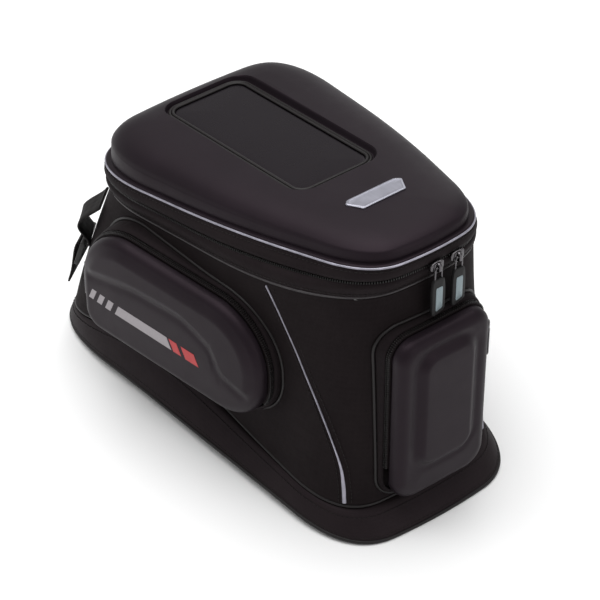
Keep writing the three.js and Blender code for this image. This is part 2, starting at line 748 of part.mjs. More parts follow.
add('base_skirt', toGeometry(baseSkirt()), 'eva');
add('base_pan', toGeometry(basePan()), 'plastic');
add('floor_board', toGeometry(floorBoard()), 'board');
add('tub_wall', toGeometry(tubWall()), 'fabric');
add('skirt_piping', toGeometry(cordOn(skirtRing(1, 0), PIPING_RADIUS, 5, -0.6)), 'tape');
add('lower_piping', toGeometry(cordOn(bandRing(0, 0), PIPING_RADIUS, 5, -0.6)), 'piping');
add('lower_zip_tape', toGeometry(zipTape(0.09, 0.39)), 'tape');
add('lower_zip_coil', toGeometry(zipCoil(ZIP_SPLIT - 0.055)), 'coil');
add('quick_release_ring', toGeometry(quickReleaseRing()), 'plastic');
add('ring_backing_plate', toGeometry(backingPlate()), 'plastic');
screwSpots().forEach((spot, i) => add(`ring_screw_${i + 1}`, toGeometry(ringScrew(spot)), 'metal'));
add('release_button', toGeometry(releaseButton()), 'rubber');
add('seam_piping_left', toGeometry(flankSeam(-1)), 'piping');
add('seam_piping_right', toGeometry(flankSeam(1)), 'piping');

add('lid_shell', toGeometry(lidShell()), 'eva');
add('upper_piping', toGeometry(cordOn(bandRing(1, 0), PIPING_RADIUS, 5, -0.6)), 'piping');
add('upper_zip_tape', toGeometry(zipTape(0.61, 0.91)), 'tape');
add('upper_zip_coil', toGeometry(zipCoil(ZIP_SPLIT + 0.055)), 'coil');
add('lid_hinge_strip', toGeometry(lidHinge()), 'tape');
add('window_panel', toGeometry(windowPanel()), 'window');
add('window_rim', toGeometry(windowRim()), 'rubber');
add('phone_tray', toGeometry(phoneTray()), 'tape');
add('phone_tray_flap', toGeometry(phoneZipPiece()), 'coil');
add('emblem_plate', toGeometry(emblemPlate()), 'emblem');

for (const label of ['left', 'right']) {
  const slide = mainSliderFrame(MAIN_SLIDERS[label]);
  const hang = hangingFrame(slide);
  add(`zip_slider_${label}`, toGeometry(place(slider(true), slide)), 'metal');
  add(`zip_loop_${label}`, toGeometry(place(wireLoop(6.4, 14, 0.8), hang)), 'metal');
  add(`zip_tab_${label}`, toGeometry(place(pullTab(), hang)), 'rubber');
}

const [frontTop, rearTop, rearBottom, frontBottom] = SIDE_POCKET.radii;
const leftPocket = { ...SIDE_POCKET, radii: [rearTop, frontTop, frontBottom, rearBottom] };
addPocket('left_pocket', leftPocket, SIDE_LAYERS, sidePocketFrame(-1), -1, -5);
addPocket('right_pocket', SIDE_POCKET, SIDE_LAYERS, sidePocketFrame(1), 1, -5);
addPocket('rear_pocket', REAR_POCKET, REAR_LAYERS, rearPocketFrame(), 1, 50);

for (const [sign, label] of [[-1, 'left'], [1, 'right']]) {
  add(`strap_loop_${label}`, toGeometry(strapLoop(sign)), 'webbing');
  add(`ladder_lock_${label}`, toGeometry(ladderLock(sign)), 'plastic');
  add(`strap_tail_${label}`, toGeometry(strapTail(sign)), 'webbing');
  add(`handle_patch_${label}`, toGeometry(handlePatch(sign)), 'webbing');
}
add('carry_handle', toGeometry(carryHandle()), 'webbing');

export default group;
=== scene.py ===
"""Looks of the motorcycle tank bag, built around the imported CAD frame.

Lengths inside the shape functions are millimetres; meshes are written in metres.
+Z is up, +Y is the front of the motorcycle, -Y faces the rider.
"""
import math

import bmesh
import bpy
import numpy as np
from mathutils import Matrix, Vector, noise
from mathutils.bvhtree import BVHTree


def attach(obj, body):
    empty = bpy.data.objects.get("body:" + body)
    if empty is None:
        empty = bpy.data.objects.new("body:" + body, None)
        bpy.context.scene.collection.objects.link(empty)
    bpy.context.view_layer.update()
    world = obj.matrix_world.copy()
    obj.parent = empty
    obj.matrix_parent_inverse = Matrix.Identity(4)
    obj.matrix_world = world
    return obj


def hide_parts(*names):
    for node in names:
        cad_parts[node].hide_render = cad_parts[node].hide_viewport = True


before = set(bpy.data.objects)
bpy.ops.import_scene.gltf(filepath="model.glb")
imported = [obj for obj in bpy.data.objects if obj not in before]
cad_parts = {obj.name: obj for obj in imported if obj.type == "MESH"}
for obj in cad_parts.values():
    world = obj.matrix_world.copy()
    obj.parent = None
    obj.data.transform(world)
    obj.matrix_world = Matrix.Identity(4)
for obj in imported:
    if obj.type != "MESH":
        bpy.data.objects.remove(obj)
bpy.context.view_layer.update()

MM = 0.001

# ---- dimensions shared with the CAD part (mm) --------------------------------------------------
HEM = dict(yf=205.2, ym=-20, yr=-202, wf=120, wm=109, wr=92, cf=100, cm=45, cr=66, crown=8)
SEAM = dict(yf=189, ym=8, yr=-182, wf=121, wm=87, wr=88, cf=68, cm=60, cr=62, crown=6)
LOWER = dict(yf=139, ym=-100, yr=-176, wf=106, wm=96, wr=58, cf=82, cm=70, cr=50, crown=7)
UPPER = dict(yf=141, ym=-45, yr=-180, wf=110, wm=90.5, wr=58, cf=82, cm=61, cr=47, crown=8)
SADDLE_RISE = 11
SADDLE_REACH = 210.9
SKIRT_HEIGHT = 22
SKIRT_WAVE = dict(rise=20, y=65, spread=85)
SKIRT_THICK = 3
WALL_THICK = 2.4
LOWER_Z, LOWER_SLOPE = 203.8, -0.175
UPPER_Z, UPPER_SLOPE = 230.6, -0.185
CROWN_HEIGHT, CROWN_SLOPE = 27.2, 0.054
DOME = [(0, 0.06), (1.8, 0.3), (6, 0.55), (13, 0.76), (24, 0.9), (38, 0.97), (55, 1.0)]
LID_THICK = 3

WINDOW = dict(y0=-66, y1=113, half=35, z=253.5, slope=-0.135, radius=10)
RECESS_MARGIN = 11
EMBLEM = dict(y0=-126, y1=-108, front=28, rear=21, thick=1.4)

SIDE = dict(y=2, z=128, length=206, height=108, radii=(53.5, 53.5, 46, 17), wall_x=96, toe=0.157)
REAR = dict(y=-206, z=116, length=92, height=164, radii=(17, 17, 20, 20))
SIDE_LAYERS = dict(lip=12, zip_fixed=13.3, zip_moving=15.5, rim=16.8, face=29, rise=2.5)
REAR_LAYERS = dict(lip=-17, zip_fixed=-15.7, zip_moving=-13.5, rim=-12.2, face=1, rise=4)
SLIDER_BAIL = 4.1

# Points on each loop between the middles of neighbouring outline corners, from front centre.
RUNS = (56, 64, 64, 46, 46, 64, 64, 56)


# ---- curves and meshes -------------------------------------------------------------------------

def resample(points, count):
    """count points evenly spread along an open polyline, its last point left out."""
    steps = np.linalg.norm(np.diff(points, axis=0), axis=1)
    along = np.concatenate([[0], np.cumsum(steps)])
    wanted = np.linspace(0, along[-1], count, endpoint=False)
    return np.stack([np.interp(wanted, along, points[:, k]) for k in range(points.shape[1])], 1)


def sample(at, along, data):
    """Each column of data at one distance along it."""
    return np.array([np.interp(at, along, column) for column in np.asarray(data).T])


def by_anchors(dense, anchors, counts=RUNS):
    """Resamples a closed polyline so that each stretch between anchors has a set point count."""
    parts = []
    for i, first in enumerate(anchors):
        last = anchors[(i + 1) % len(anchors)]
        if last <= first:
            stretch = np.concatenate([dense[first:], dense[:last + 1]])
        else:
            stretch = dense[first:last + 1]
        parts.append(resample(stretch, counts[i]))
    return np.concatenate(parts)


def outline(s):
    """Plan outline of the bag: eight corners rounded by quadratic curves."""
    corners = np.array([
        (0, s["yf"] + s["crown"]), (s["wf"], s["yf"]), (s["wm"], s["ym"]), (s["wr"], s["yr"]),
        (0, s["yr"] - s["crown"]), (-s["wr"], s["yr"]), (-s["wm"], s["ym"]), (-s["wf"], s["yf"]),
    ], float)
    cuts = [200, s["cf"], s["cm"], s["cr"], 200, s["cr"], s["cm"], s["cf"]]
    t = np.linspace(0, 1, 41)[:, None]
    dense = []
    for i, corner in enumerate(corners):
        ends = []
        for other in (corners[i - 1], corners[(i + 1) % 8]):
            gap = np.linalg.norm(other - corner)
            ends.append(corner + (other - corner) * min(cuts[i], 0.49 * gap) / gap)
        dense.append((1 - t) ** 2 * ends[0] + 2 * t * (1 - t) * corner + t ** 2 * ends[1])
    return by_anchors(np.concatenate(dense), [41 * i + 20 for i in range(8)])


def inset(s, d):
    out = dict(s)
    out["yf"] -= d
    out["yr"] += d
    for key in ("wf", "wm", "wr"):
        out[key] -= d
    for key in ("cf", "cm", "cr"):
        out[key] -= 0.35 * d
    return out


def mix(a, b, t):
    return {key: a[key] * (1 - t) + b[key] * t for key in a}


def lifted(plan, z):
    return np.column_stack([plan, z])


def saddle(y):
    return SADDLE_RISE * (1 - np.minimum(1, (y / SADDLE_REACH) ** 2))


def skirt_height(y):
    return SKIRT_HEIGHT + SKIRT_WAVE["rise"] * np.exp(-((y - SKIRT_WAVE["y"]) / SKIRT_WAVE["spread"]) ** 2)


def skirt_ring(t, d):
    plan = outline(inset(mix(HEM, SEAM, t), d))
    y = plan[:, 1]
    return lifted(plan, saddle(y) + t * skirt_height(y))


def wall_ring(t, d):
    plan = outline(inset(mix(SEAM, LOWER, t), d - 1.5 * math.sin(math.pi * t)))
    y = plan[:, 1]
    return lifted(plan, (saddle(y) + skirt_height(y)) * (1 - t) + (LOWER_Z + LOWER_SLOPE * y) * t)


def band_ring(t, d):
    plan = outline(inset(mix(LOWER, UPPER, t), d - 1.5 * math.sin(math.pi * t)))
    y = plan[:, 1]
    return lifted(plan, (LOWER_Z + LOWER_SLOPE * y) * (1 - t) + (UPPER_Z + UPPER_SLOPE * y) * t)


def ring_normals(ring):
    """Horizontal outward directions of a loop that runs clockwise seen from above."""
    along = np.roll(ring, -1, 0) - np.roll(ring, 1, 0)
    out = np.column_stack([-along[:, 1], along[:, 0], np.zeros(len(ring))])
    return out / np.linalg.norm(out, axis=1)[:, None]


def rounded_loop(width, height, radii, counts=RUNS):
    """Rounded rectangle about the origin, clockwise from the middle of its +v side.

    radii run from the +u +v corner anticlockwise: (+u +v), (-u +v), (-u -v), (+u -v).
    """
    x, y = width / 2, height / 2
    most = min(x, y) - 0.01
    r = [min(max(v, 1), most) for v in radii]
    spots = [(x - r[0], y - r[0], r[0], 90), (x - r[3], r[3] - y, r[3], 0),
             (r[2] - x, r[2] - y, r[2], -90), (r[1] - x, y - r[1], r[1], -180)]
    dense, anchors = [np.array([[0, y]])], [0]
    for i, (cx, cy, radius, start) in enumerate(spots):
        angle = np.radians(np.linspace(start, start - 90, 41))
        anchors.append(sum(len(d) for d in dense) + 20)
        dense.append(np.column_stack([cx + radius * np.cos(angle), cy + radius * np.sin(angle)]))
        side = [np.array([[x, 0]]), np.array([[0, -y]]), np.array([[-x, 0]])]
        if i < 3:
            anchors.append(sum(len(d) for d in dense))
            dense.append(side[i])
    return by_anchors(np.concatenate(dense), anchors, counts)


def distance_to_loop(points, loop):
    """Distance of each 2-D point to a closed polyline."""
    a = loop
    b = np.roll(loop, -1, 0)
    ab = b - a
    length = (ab ** 2).sum(1) + 1e-12
    out = np.empty(len(points))
    for i in range(0, len(points), 4000):
        p = points[i:i + 4000][:, None, :]
        t = np.clip(((p - a) * ab).sum(2) / length, 0, 1)
        near = a + t[..., None] * ab
        out[i:i + 4000] = np.sqrt(((p - near) ** 2).sum(2).min(1))
    return out


def smoothstep(a, b, x):
    t = np.clip((x - a) / (b - a), 0, 1)
    return t * t * (3 - 2 * t)


def new_object(name, verts, faces, uvs=None, sharp=38, body=None, slot=None, material=None):
    """Mesh object from millimetre vertices. uvs is one (u, v) per face corner."""
    mesh = bpy.data.meshes.new(name)
    mesh.from_pydata((np.asarray(verts) * MM).tolist(), [], [list(map(int, f)) for f in faces])
    if uvs is not None:
        layer = mesh.uv_layers.new(name="UVMap")
        layer.data.foreach_set("uv", np.asarray(uvs, np.float32).ravel())
    mesh.update()
    obj = bpy.data.objects.new(name, mesh)
    bpy.context.scene.collection.objects.link(obj)
    tidy_mesh(obj, sharp)
    if material is not None:
        mesh.materials.append(material)
    if body:
        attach(obj, body)
    return obj


def tidy_mesh(obj, sharp):
    bm = bmesh.new()
    bm.from_mesh(obj.data)
    bmesh.ops.remove_doubles(bm, verts=bm.verts, dist=1e-6)
    bmesh.ops.dissolve_degenerate(bm, edges=bm.edges, dist=1e-7)
    bmesh.ops.recalc_face_normals(bm, faces=bm.faces)
    for face in bm.faces:
        face.smooth = True
    limit = math.radians(sharp)
    for edge in bm.edges:
        edge.smooth = not (len(edge.link_faces) == 2 and edge.calc_face_angle() > limit)
    bm.to_mesh(obj.data)
    bm.free()


def loft_data(rings, wrapped=False, closed=True):
    """Vertices, quads and metre-true UVs of a skin through rings of equal point count."""
    rings = np.asarray(rings, float)
    rows, cols = rings.shape[:2]
    verts = rings.reshape(-1, 3)
    reach = np.roll(rings, -1, 1) - rings
    u = np.concatenate([[0], np.cumsum(np.linalg.norm(reach[rows // 3], axis=1))]) * MM
    climb = np.linalg.norm(np.diff(rings, axis=0), axis=2).mean(1)
    v = np.concatenate([[0], np.cumsum(climb)]) * MM
    last_rise = np.linalg.norm(rings[0] - rings[-1], axis=1).mean() * MM
    faces, uvs = [], []
    for i in range(rows if wrapped else rows - 1):
        k = (i + 1) % rows
        top = v[k] if k else v[-1] + last_rise
        for j in range(cols if closed else cols - 1):
            n = (j + 1) % cols
            faces.append((i * cols + j, i * cols + n, k * cols + n, k * cols + j))
            uvs += [(u[j], v[i]), (u[j + 1], v[i]), (u[j + 1], top), (u[j], top)]
    return verts, faces, uvs


def loft(name, rings, wrapped=False, closed=True, cap_last=False, **rest):
    verts, faces, uvs = loft_data(rings, wrapped, closed)
    if cap_last:
        rows, cols = len(rings), len(rings[0])
        faces.append([(rows - 1) * cols + j for j in range(cols)])
        ring = np.asarray(rings[-1]) * MM
        uvs += [(p[0], p[1]) for p in ring]
    return new_object(name, verts, faces, uvs, **rest)


def shell_rings(outer, inner):
    """Rings of a closed hoop from its outer levels and back down its inner levels."""
    return list(outer) + list(inner)[::-1]


def tube_rings(path, frame_a, frame_b, section):
    """One ring of section points (a, b) at every path point."""
    section = np.asarray(section, float)
    return [p + section[:, :1] * a + section[:, 1:] * b for p, a, b in zip(path, frame_a, frame_b)]


def round_section(radius, sides=12):
    a = np.linspace(0, 2 * math.pi, sides, endpoint=False)
    return np.column_stack([radius * np.cos(a), radius * np.sin(a)])


def cord_on(name, ring, radius, out=0.0, squash=1.0, **rest):
    """Round cord laid on a closed ring."""
    ring = np.asarray(ring)
    normal = ring_normals(ring)
    path = ring + normal * out
    along = np.roll(path, -1, 0) - np.roll(path, 1, 0)
    along /= np.linalg.norm(along, axis=1)[:, None]
    up = np.cross(along, normal)
    rings = tube_rings(path, normal, up, round_section(radius) * (1, squash))
    return loft(name, rings, wrapped=True, **rest)


def smooth_path(points, count):
    """Catmull-Rom curve through points, evenly resampled, both ends kept."""
    p = np.asarray(points, float)
    p = np.concatenate([[2 * p[0] - p[1]], p, [2 * p[-1] - p[-2]]])
    t = np.linspace(0, 1, 24, endpoint=False)[:, None]
    parts = []
    for a, b, c, d in zip(p, p[1:], p[2:], p[3:]):
        parts.append(0.5 * (2 * b + (c - a) * t + (2 * a - 5 * b + 4 * c - d) * t ** 2
                            + (3 * b - a - 3 * c + d) * t ** 3))
    dense = np.concatenate(parts + [p[-2][None]])
    even = resample(dense, count - 1)
    return np.concatenate([even, dense[-1][None]])


def ribbon(name, path, across, width, thick, sharp=50, **rest):
    """Flat webbing with rounded edges along an open path; across is its width direction."""
    path = np.asarray(path, float)
    along = np.gradient(path, axis=0)
    along /= np.linalg.norm(along, axis=1)[:, None]
    across = np.broadcast_to(np.asarray(across, float), path.shape)
    across = across - along * (across * along).sum(1)[:, None]
    across = across / np.linalg.norm(across, axis=1)[:, None]
    up = np.cross(across, along)
    w, h = width / 2, thick / 2
    half = [(-w, -h * 0.5), (-w + 0.5 * h, -h), (w - 0.5 * h, -h), (w, -h * 0.5)]
    steps = np.linspace(0, 1, 9)[1:-1]
    low = [(half[1][0] * (1 - s) + half[2][0] * s, -h) for s in steps]
    section = [half[0], half[1], *low, half[2], half[3]]
    section += [(-a, -b) for a, b in section]
    rings = tube_rings(path, across, up, section)
    cols = len(section)
    rings = [np.repeat(rings[0].mean(0)[None], cols, 0), *rings,
             np.repeat(rings[-1].mean(0)[None], cols, 0)]
    return loft(name, rings, sharp=sharp, **rest)


def placed(matrix, points):
    """Local points (n, 3) through a 3x4 frame given as (origin, u, v, n)."""
    origin, u, v, n = matrix
    points = np.asarray(points, float)
    return origin + points[..., :1] * u + points[..., 1:2] * v + points[..., 2:3] * n


def frame_of(origin, u, v):
    origin, u, v = (np.asarray(k, float) for k in (origin, u, v))
    return origin, u, v, np.cross(u, v)


# ---- materials ---------------------------------------------------------------------------------

SHINE_TINT = (1.0, 0.76, 0.9, 1.0)


class Finish:
    """Small helper that builds one node material."""

    def __init__(self, name, color, rough, **sockets):
        self.material = bpy.data.materials.new(name)
        self.material.use_nodes = True
        self.tree = self.material.node_tree
        self.shader = self.tree.nodes["Principled BSDF"]
        self.shader.inputs["Base Color"].default_value = (*color, 1)
        self.shader.inputs["Roughness"].default_value = rough
        for key, value in sockets.items():
            self.shader.inputs[key.replace("_", " ")].default_value = value
        self.height = None

    def node(self, kind, links=None, **values):
        node = self.tree.nodes.new(kind)
        for key, value in values.items():
            if hasattr(node, key):
                setattr(node, key, value)
            else:
                node.inputs[key.replace("_", " ")].default_value = value
        for key, source in (links or {}).items():
            self.tree.links.new(source, node.inputs[key])
        return node

    def coordinates(self, uv=False, scale=(1, 1, 1), turn=0.0):
        source = self.node("ShaderNodeTexCoord").outputs["UV" if uv else "Object"]
        mapping = self.node("ShaderNodeMapping", {"Vector": source})
        mapping.inputs["Scale"].default_value = scale
        mapping.inputs["Rotation"].default_value = (0, 0, turn)
        return mapping.outputs["Vector"]

    def noise(self, where, scale, detail=3.0, rough=0.5):
        node = self.node("ShaderNodeTexNoise", {"Vector": where}, Scale=scale, Detail=detail)
        node.inputs["Roughness"].default_value = rough
        return node.outputs["Fac"]

    def wave(self, where, scale, axis="X", distort=0.0):
        node = self.node("ShaderNodeTexWave", {"Vector": where}, wave_type="BANDS",
                         bands_direction=axis, wave_profile="SIN", Scale=scale, Distortion=distort)
        return node.outputs["Fac"]

    def math(self, operation, a, b=None, clamp=False):
        node = self.node("ShaderNodeMath", operation=operation, use_clamp=clamp)
        for i, value in enumerate((a, b)):
            if value is None:
                continue
            if isinstance(value, (int, float)):
                node.inputs[i].default_value = value
            else:
                self.tree.links.new(value, node.inputs[i])
        return node.outputs[0]

    def ramp(self, source, low, high, from_min=0.0, from_max=1.0):
        node = self.node("ShaderNodeMapRange", {"Value": source}, clamp=True)
        for key, value in (("From Min", from_min), ("From Max", from_max),
                           ("To Min", low), ("To Max", high)):
            node.inputs[key].default_value = value
        return node.outputs["Result"]

    def tint(self, source, low, high):
        node = self.node("ShaderNodeMix", {"Factor": source}, data_type="RGBA")
        node.inputs["A"].default_value = (*low, 1)
        node.inputs["B"].default_value = (*high, 1)
        self.tree.links.new(node.outputs["Result"], self.shader.inputs["Base Color"])
        return node

    def rough(self, source, low, high):
        self.tree.links.new(self.ramp(source, low, high), self.shader.inputs["Roughness"])

    def bump(self, source, distance, strength=1.0):
        node = self.node("ShaderNodeBump", {"Height": source}, Distance=distance, Strength=strength)
        if self.height is not None:
            self.tree.links.new(self.height, node.inputs["Normal"])
        self.height = node.outputs["Normal"]
        self.tree.links.new(self.height, self.shader.inputs["Normal"])


def eva_finish(name, color=(0.0075, 0.0053, 0.0071), rough=0.45):
    """Coated moulded EVA: satin skin with a very fine leather-like grain."""
    f = Finish(name, color, rough, Specular_IOR_Level=0.15, Specular_Tint=SHINE_TINT)
    where = f.coordinates()
    grain = f.node("ShaderNodeTexVoronoi", {"Vector": where}, feature="SMOOTH_F1", Scale=1500)
    f.bump(grain.outputs["Distance"], 0.00006, 0.5)
    cloud = f.noise(where, 22, 5, 0.55)
    f.bump(f.noise(where, 260, 3), 0.00005, 0.35)
    f.tint(f.ramp(cloud, 0, 1, 0.3, 0.7), [c * 0.88 for c in color], [c * 1.14 for c in color])
    f.rough(f.noise(where, 70, 4, 0.6), rough - 0.06, rough + 0.07)
    return f.material


def weave_finish(name, color, pitch=0.00075, rough=0.78, gloss=0.12, depth=0.00005):
    """Plain-woven coated fabric in metre-true UVs."""
    f = Finish(name, color, rough, Specular_IOR_Level=gloss, Specular_Tint=SHINE_TINT)
    uv = f.coordinates(uv=True)
    scale = 1 / pitch / 20
    warp = f.wave(uv, scale, "X")
    weft = f.wave(uv, scale, "Y")
    cross = f.math("MAXIMUM", f.math("MULTIPLY", warp, 0.9), weft)
    both = f.math("MULTIPLY", cross, f.ramp(f.noise(uv, 900, 2), 0.7, 1.0))
    f.bump(both, depth, 0.8)
    cloud = f.noise(f.coordinates(), 26, 5, 0.6)
    f.bump(cloud, 0.0006, 0.25)
    shade = f.math("ADD", f.math("MULTIPLY", both, 0.18), f.math("MULTIPLY", cloud, 0.82))
    f.tint(f.ramp(shade, 0, 1, 0.3, 0.85), [c * 0.7 for c in color], [c * 1.35 for c in color])
    f.rough(f.noise(uv, 160, 3), rough - 0.08, rough + 0.08)
    return f.material


def ribbed_finish(name, color, pitch=0.0016, rough=0.7, cross_pitch=0.0009):
    """Woven webbing or tape: raised ribs across, fine yarns along."""
    f = Finish(name, color, rough, Specular_IOR_Level=0.15)
    uv = f.coordinates(uv=True)
    ribs = f.wave(uv, 1 / pitch / 20, "Y", 0.3)
    yarns = f.wave(uv, 1 / cross_pitch / 20, "X", 0.2)
    cloth = f.math("ADD", f.math("MULTIPLY", ribs, 0.65), f.math("MULTIPLY", yarns, 0.35))
    f.bump(cloth, 0.00022, 0.9)
    f.tint(f.ramp(cloth, 0, 1), [c * 0.6 for c in color], [c * 1.4 for c in color])
    f.rough(f.noise(uv, 120, 3), rough - 0.07, rough + 0.1)
    return f.material


def reflective_finish(name, color):
    f = Finish(name, color, 0.34, Metallic=0.55)
    where = f.coordinates()
    grain = f.noise(where, 1400, 2)
    f.bump(grain, 0.00005, 0.5)
    f.tint(f.ramp(f.noise(where, 120, 4), 0, 1, 0.3, 0.7), [c * 0.8 for c in color], [c * 1.2 for c in color])
    f.rough(grain, 0.26, 0.46)
    return f.material


def film_finish():
    """Smoked clear film: glossy, faintly hazy with handling marks."""
    f = Finish("window_film", (0.0052, 0.0041, 0.0054), 0.2,
               Specular_IOR_Level=0.16, Specular_Tint=SHINE_TINT)
    where = f.coordinates()
    f.bump(f.noise(where, 9, 3), 0.0012, 0.22)
    f.rough(f.noise(where, 38, 5, 0.7), 0.2, 0.36)
    f.tint(f.noise(where, 16, 3), (0.0046, 0.0036, 0.0048), (0.006, 0.0047, 0.0062))
    return f.material


def rubber_finish(name="soft_rubber", color=(0.007, 0.0065, 0.007), rough=0.55, gloss=0.3):
    f = Finish(name, color, rough, Specular_IOR_Level=gloss)
    where = f.coordinates()
    f.bump(f.noise(where, 900, 3), 0.00005, 0.5)
    f.tint(f.noise(where, 60, 4), [c * 0.8 for c in color], [c * 1.3 for c in color])
    f.rough(f.noise(where, 130, 4), rough - 0.08, rough + 0.1)
    return f.material


def brushed_finish(name, color, rough=0.3, stretch=(2600, 60, 60)):
    f = Finish(name, color, rough, Metallic=1.0)
    lines = f.noise(f.coordinates(scale=stretch), 1.0, 3)
    f.bump(lines, 0.00003, 0.5)
    f.tint(lines, [c * 0.85 for c in color], [min(1, c * 1.12) for c in color])
    f.rough(f.noise(f.coordinates(), 90, 3), rough - 0.08, rough + 0.1)
    return f.material


def print_finish(name, color, rough=0.45, metal=0.0):
    """Screen-printed or transferred ink."""
    f = Finish(name, color, rough, Metallic=metal)
    where = f.coordinates()
    f.tint(f.noise(where, 700, 3), [c * 0.86 for c in color], [min(1, c * 1.1) for c in color])
    f.bump(f.noise(where, 1500, 2), 0.00003, 0.4)
    return f.material


EVA = eva_finish("moulded_eva")
FABRIC = weave_finish("body_fabric", (0.0062, 0.0049, 0.0046))
SKIRT_EVA = weave_finish("skirt_fabric", (0.0085, 0.0066, 0.0066), pitch=0.0006, rough=0.62,
                         gloss=0.17, depth=0.00005)
TAPE = weave_finish("woven_tape", (0.0068, 0.0054, 0.0052), pitch=0.0009, rough=0.7,
                    gloss=0.14, depth=0.00012)
GUSSET = weave_finish("gusset_fabric", (0.006, 0.0048, 0.0047), pitch=0.0011, rough=0.72, depth=0.00016)
WEBBING = ribbed_finish("webbing", (0.008, 0.0068, 0.0068))
COIL = rubber_finish("zip_teeth", (0.010, 0.009, 0.009), 0.38, 0.35)
PIPING = reflective_finish("silver_piping", (0.30, 0.29, 0.34))
# Darker copy of the silver piping finish: painted shade on the lower piping.
PAINTED_SHADE_PIPING = reflective_finish("silver_piping_painted_shade", (0.04, 0.036, 0.038))
EDGE_PIPING = rubber_finish("edge_piping", (0.0075, 0.006, 0.0062), 0.42, 0.25)
THREAD = ribbed_finish("thread", (0.011, 0.009, 0.009), 0.0008, 0.6)
FILM = film_finish()
RUBBER = rubber_finish()
EMBLEM_METAL = brushed_finish("emblem_metal", (0.42, 0.42, 0.48), 0.34)
DARK_METAL = brushed_finish("dark_metal", (0.10, 0.095, 0.1), 0.26, (900, 900, 900))
NYLON = rubber_finish("moulded_nylon", (0.008, 0.0075, 0.0075), 0.42)
BOARD = rubber_finish("board", (0.03, 0.03, 0.032), 0.6)
LINING = weave_finish("lining", (0.024, 0.023, 0.025), pitch=0.0012, rough=0.85)
STRIPE_GREY = print_finish("grey_print", (0.30, 0.275, 0.29), 0.5)
STRIPE_RED = print_finish("red_print", (0.42, 0.012, 0.014), 0.45)
LABEL = print_finish("reflective_label", (0.20, 0.25, 0.27), 0.4, 0.25)


# ---- stitching ---------------------------------------------------------------------------------

def stitches(name, path, normals, body, length=3.0, gap=1.0, radius=0.32, sink=0.1, closed=False):
    """A row of separate thread stitches lying along a path on a surface."""
    path = np.asarray(path, float)
    if closed:
        path = np.concatenate([path, path[:1]])
        normals = np.concatenate([normals, normals[:1]])
    steps = np.linalg.norm(np.diff(path, axis=0), axis=1)
    along = np.concatenate([[0], np.cumsum(steps)])
    count = int(along[-1] // (length + gap))
    at = lambda data, s: np.array([np.interp(s, along, data[:, k]) for k in range(3)])
    verts, faces, uvs = [], [], []
    profile = [(0.0, -0.9), (0.12, 0.1), (0.5, 0.55), (0.88, 0.1), (1.0, -0.9)]
    sides = 6
    for i in range(count):
        start = i * (length + gap) + gap / 2
        base = len(verts)
        for share, rise in profile:
            s = start + share * length
            p, n = at(path, s), at(normals, s)
            n /= np.linalg.norm(n)
            t = at(path, min(s + 0.3, along[-1])) - at(path, max(s - 0.3, 0))
            t /= np.linalg.norm(t)
            side = np.cross(t, n)
            centre = p + n * (rise * radius - sink)
            for k in range(sides):
                a = 2 * math.pi * k / sides
                verts.append(centre + radius * (math.cos(a) * side * 0.9 + math.sin(a) * n))
        rows = len(profile)
        for r in range(rows - 1):
            for k in range(sides):
                m = (k + 1) % sides
                faces.append((base + r * sides + k, base + r * sides + m,
                              base + (r + 1) * sides + m, base + (r + 1) * sides + k))
                left, low = k * MM, r * MM
                uvs += [(left, low), (left + MM, low), (left + MM, low + MM), (left, low + MM)]
        for row, order in ((0, 1), (rows - 1, -1)):
            faces.append([base + row * sides + k for k in range(sides)][::order])
            uvs += [(0, 0)] * sides
    return new_object(name, verts, faces, uvs, sharp=80, body=body, slot="body_fabric", material=THREAD)


# ---- camera, lights and floor ------------------------------------------------------------------

def add_camera():
    eye = Vector((-1023.5, -1345.6, 1499.0)) * MM
    target = Vector((-7.8, -28.6, 114.9)) * MM
    data = bpy.data.cameras.new("camera")
    data.lens = 156
    data.sensor_width = 36
    data.clip_start = 0.05
    camera = bpy.data.objects.new("camera", data)
    camera.location = eye
    camera.rotation_euler = (target - eye).to_track_quat("-Z", "Y").to_euler()
    bpy.context.scene.collection.objects.link(camera)
    bpy.context.scene.camera = camera


def add_area(name, place, target, size, power, color=(1, 1, 1)):
    data = bpy.data.lights.new(name, "AREA")
    data.shape = "RECTANGLE"
    data.size, data.size_y = size
    data.energy = power
    data.color = color
    light = bpy.data.objects.new(name, data)
    light.location = place
    light.rotation_euler = (Vector(target) - Vector(place)).to_track_quat("-Z", "Y").to_euler()
    bpy.context.scene.collection.objects.link(light)


def add_studio():
    scene = bpy.context.scene
    scene.view_settings.view_transform = "Standard"
    world = bpy.data.worlds.new("studio")
    world.use_nodes = True
    world.node_tree.nodes["Background"].inputs["Color"].default_value = (1, 1, 1, 1)
    world.node_tree.nodes["Background"].inputs["Strength"].default_value = 0.54
    scene.world = world
    middle = (0, 0, 0.14)
    add_area("top_softbox", (-0.1, 0.2, 1.7), middle, (1.9, 1.9), 34)
    add_area("rear_softbox", (0.3, -1.6, 0.75), middle, (1.0, 0.9), 4)
    add_area("side_softbox", (-1.7, 0.4, 0.9), middle, (1.2, 1.0), 0.8)
    add_area("far_strip", (1.2, 0.9, 0.9), middle, (0.5, 1.4), 1.5)
    bm = bmesh.new()
    bmesh.ops.create_grid(bm, x_segments=8, y_segments=8, size=6)
    mesh = bpy.data.meshes.new("floor")
    bm.to_mesh(mesh)
    bm.free()
    floor = bpy.data.objects.new("floor", mesh)
    floor.location.z = -0.0005
    bpy.context.scene.collection.objects.link(floor)
    paint = Finish("floor_white", (0.92, 0.92, 0.92), 0.9)
    paint.tint(paint.noise(paint.coordinates(), 3), (0.91, 0.91, 0.91), (0.93, 0.93, 0.93))
    mesh.materials.append(paint.material)


# ---- body --------------------------------------------------------------------------------------

def crease(points, amount, scale, seed):
    """Slow smooth in-and-out wander of a fabric surface, as distances along its normals."""
    out = np.empty(len(points))
    for i, p in enumerate(points):
        out[i] = noise.noise(Vector(p * scale) + Vector((seed, seed * 0.7, 0)))
    return out * amount


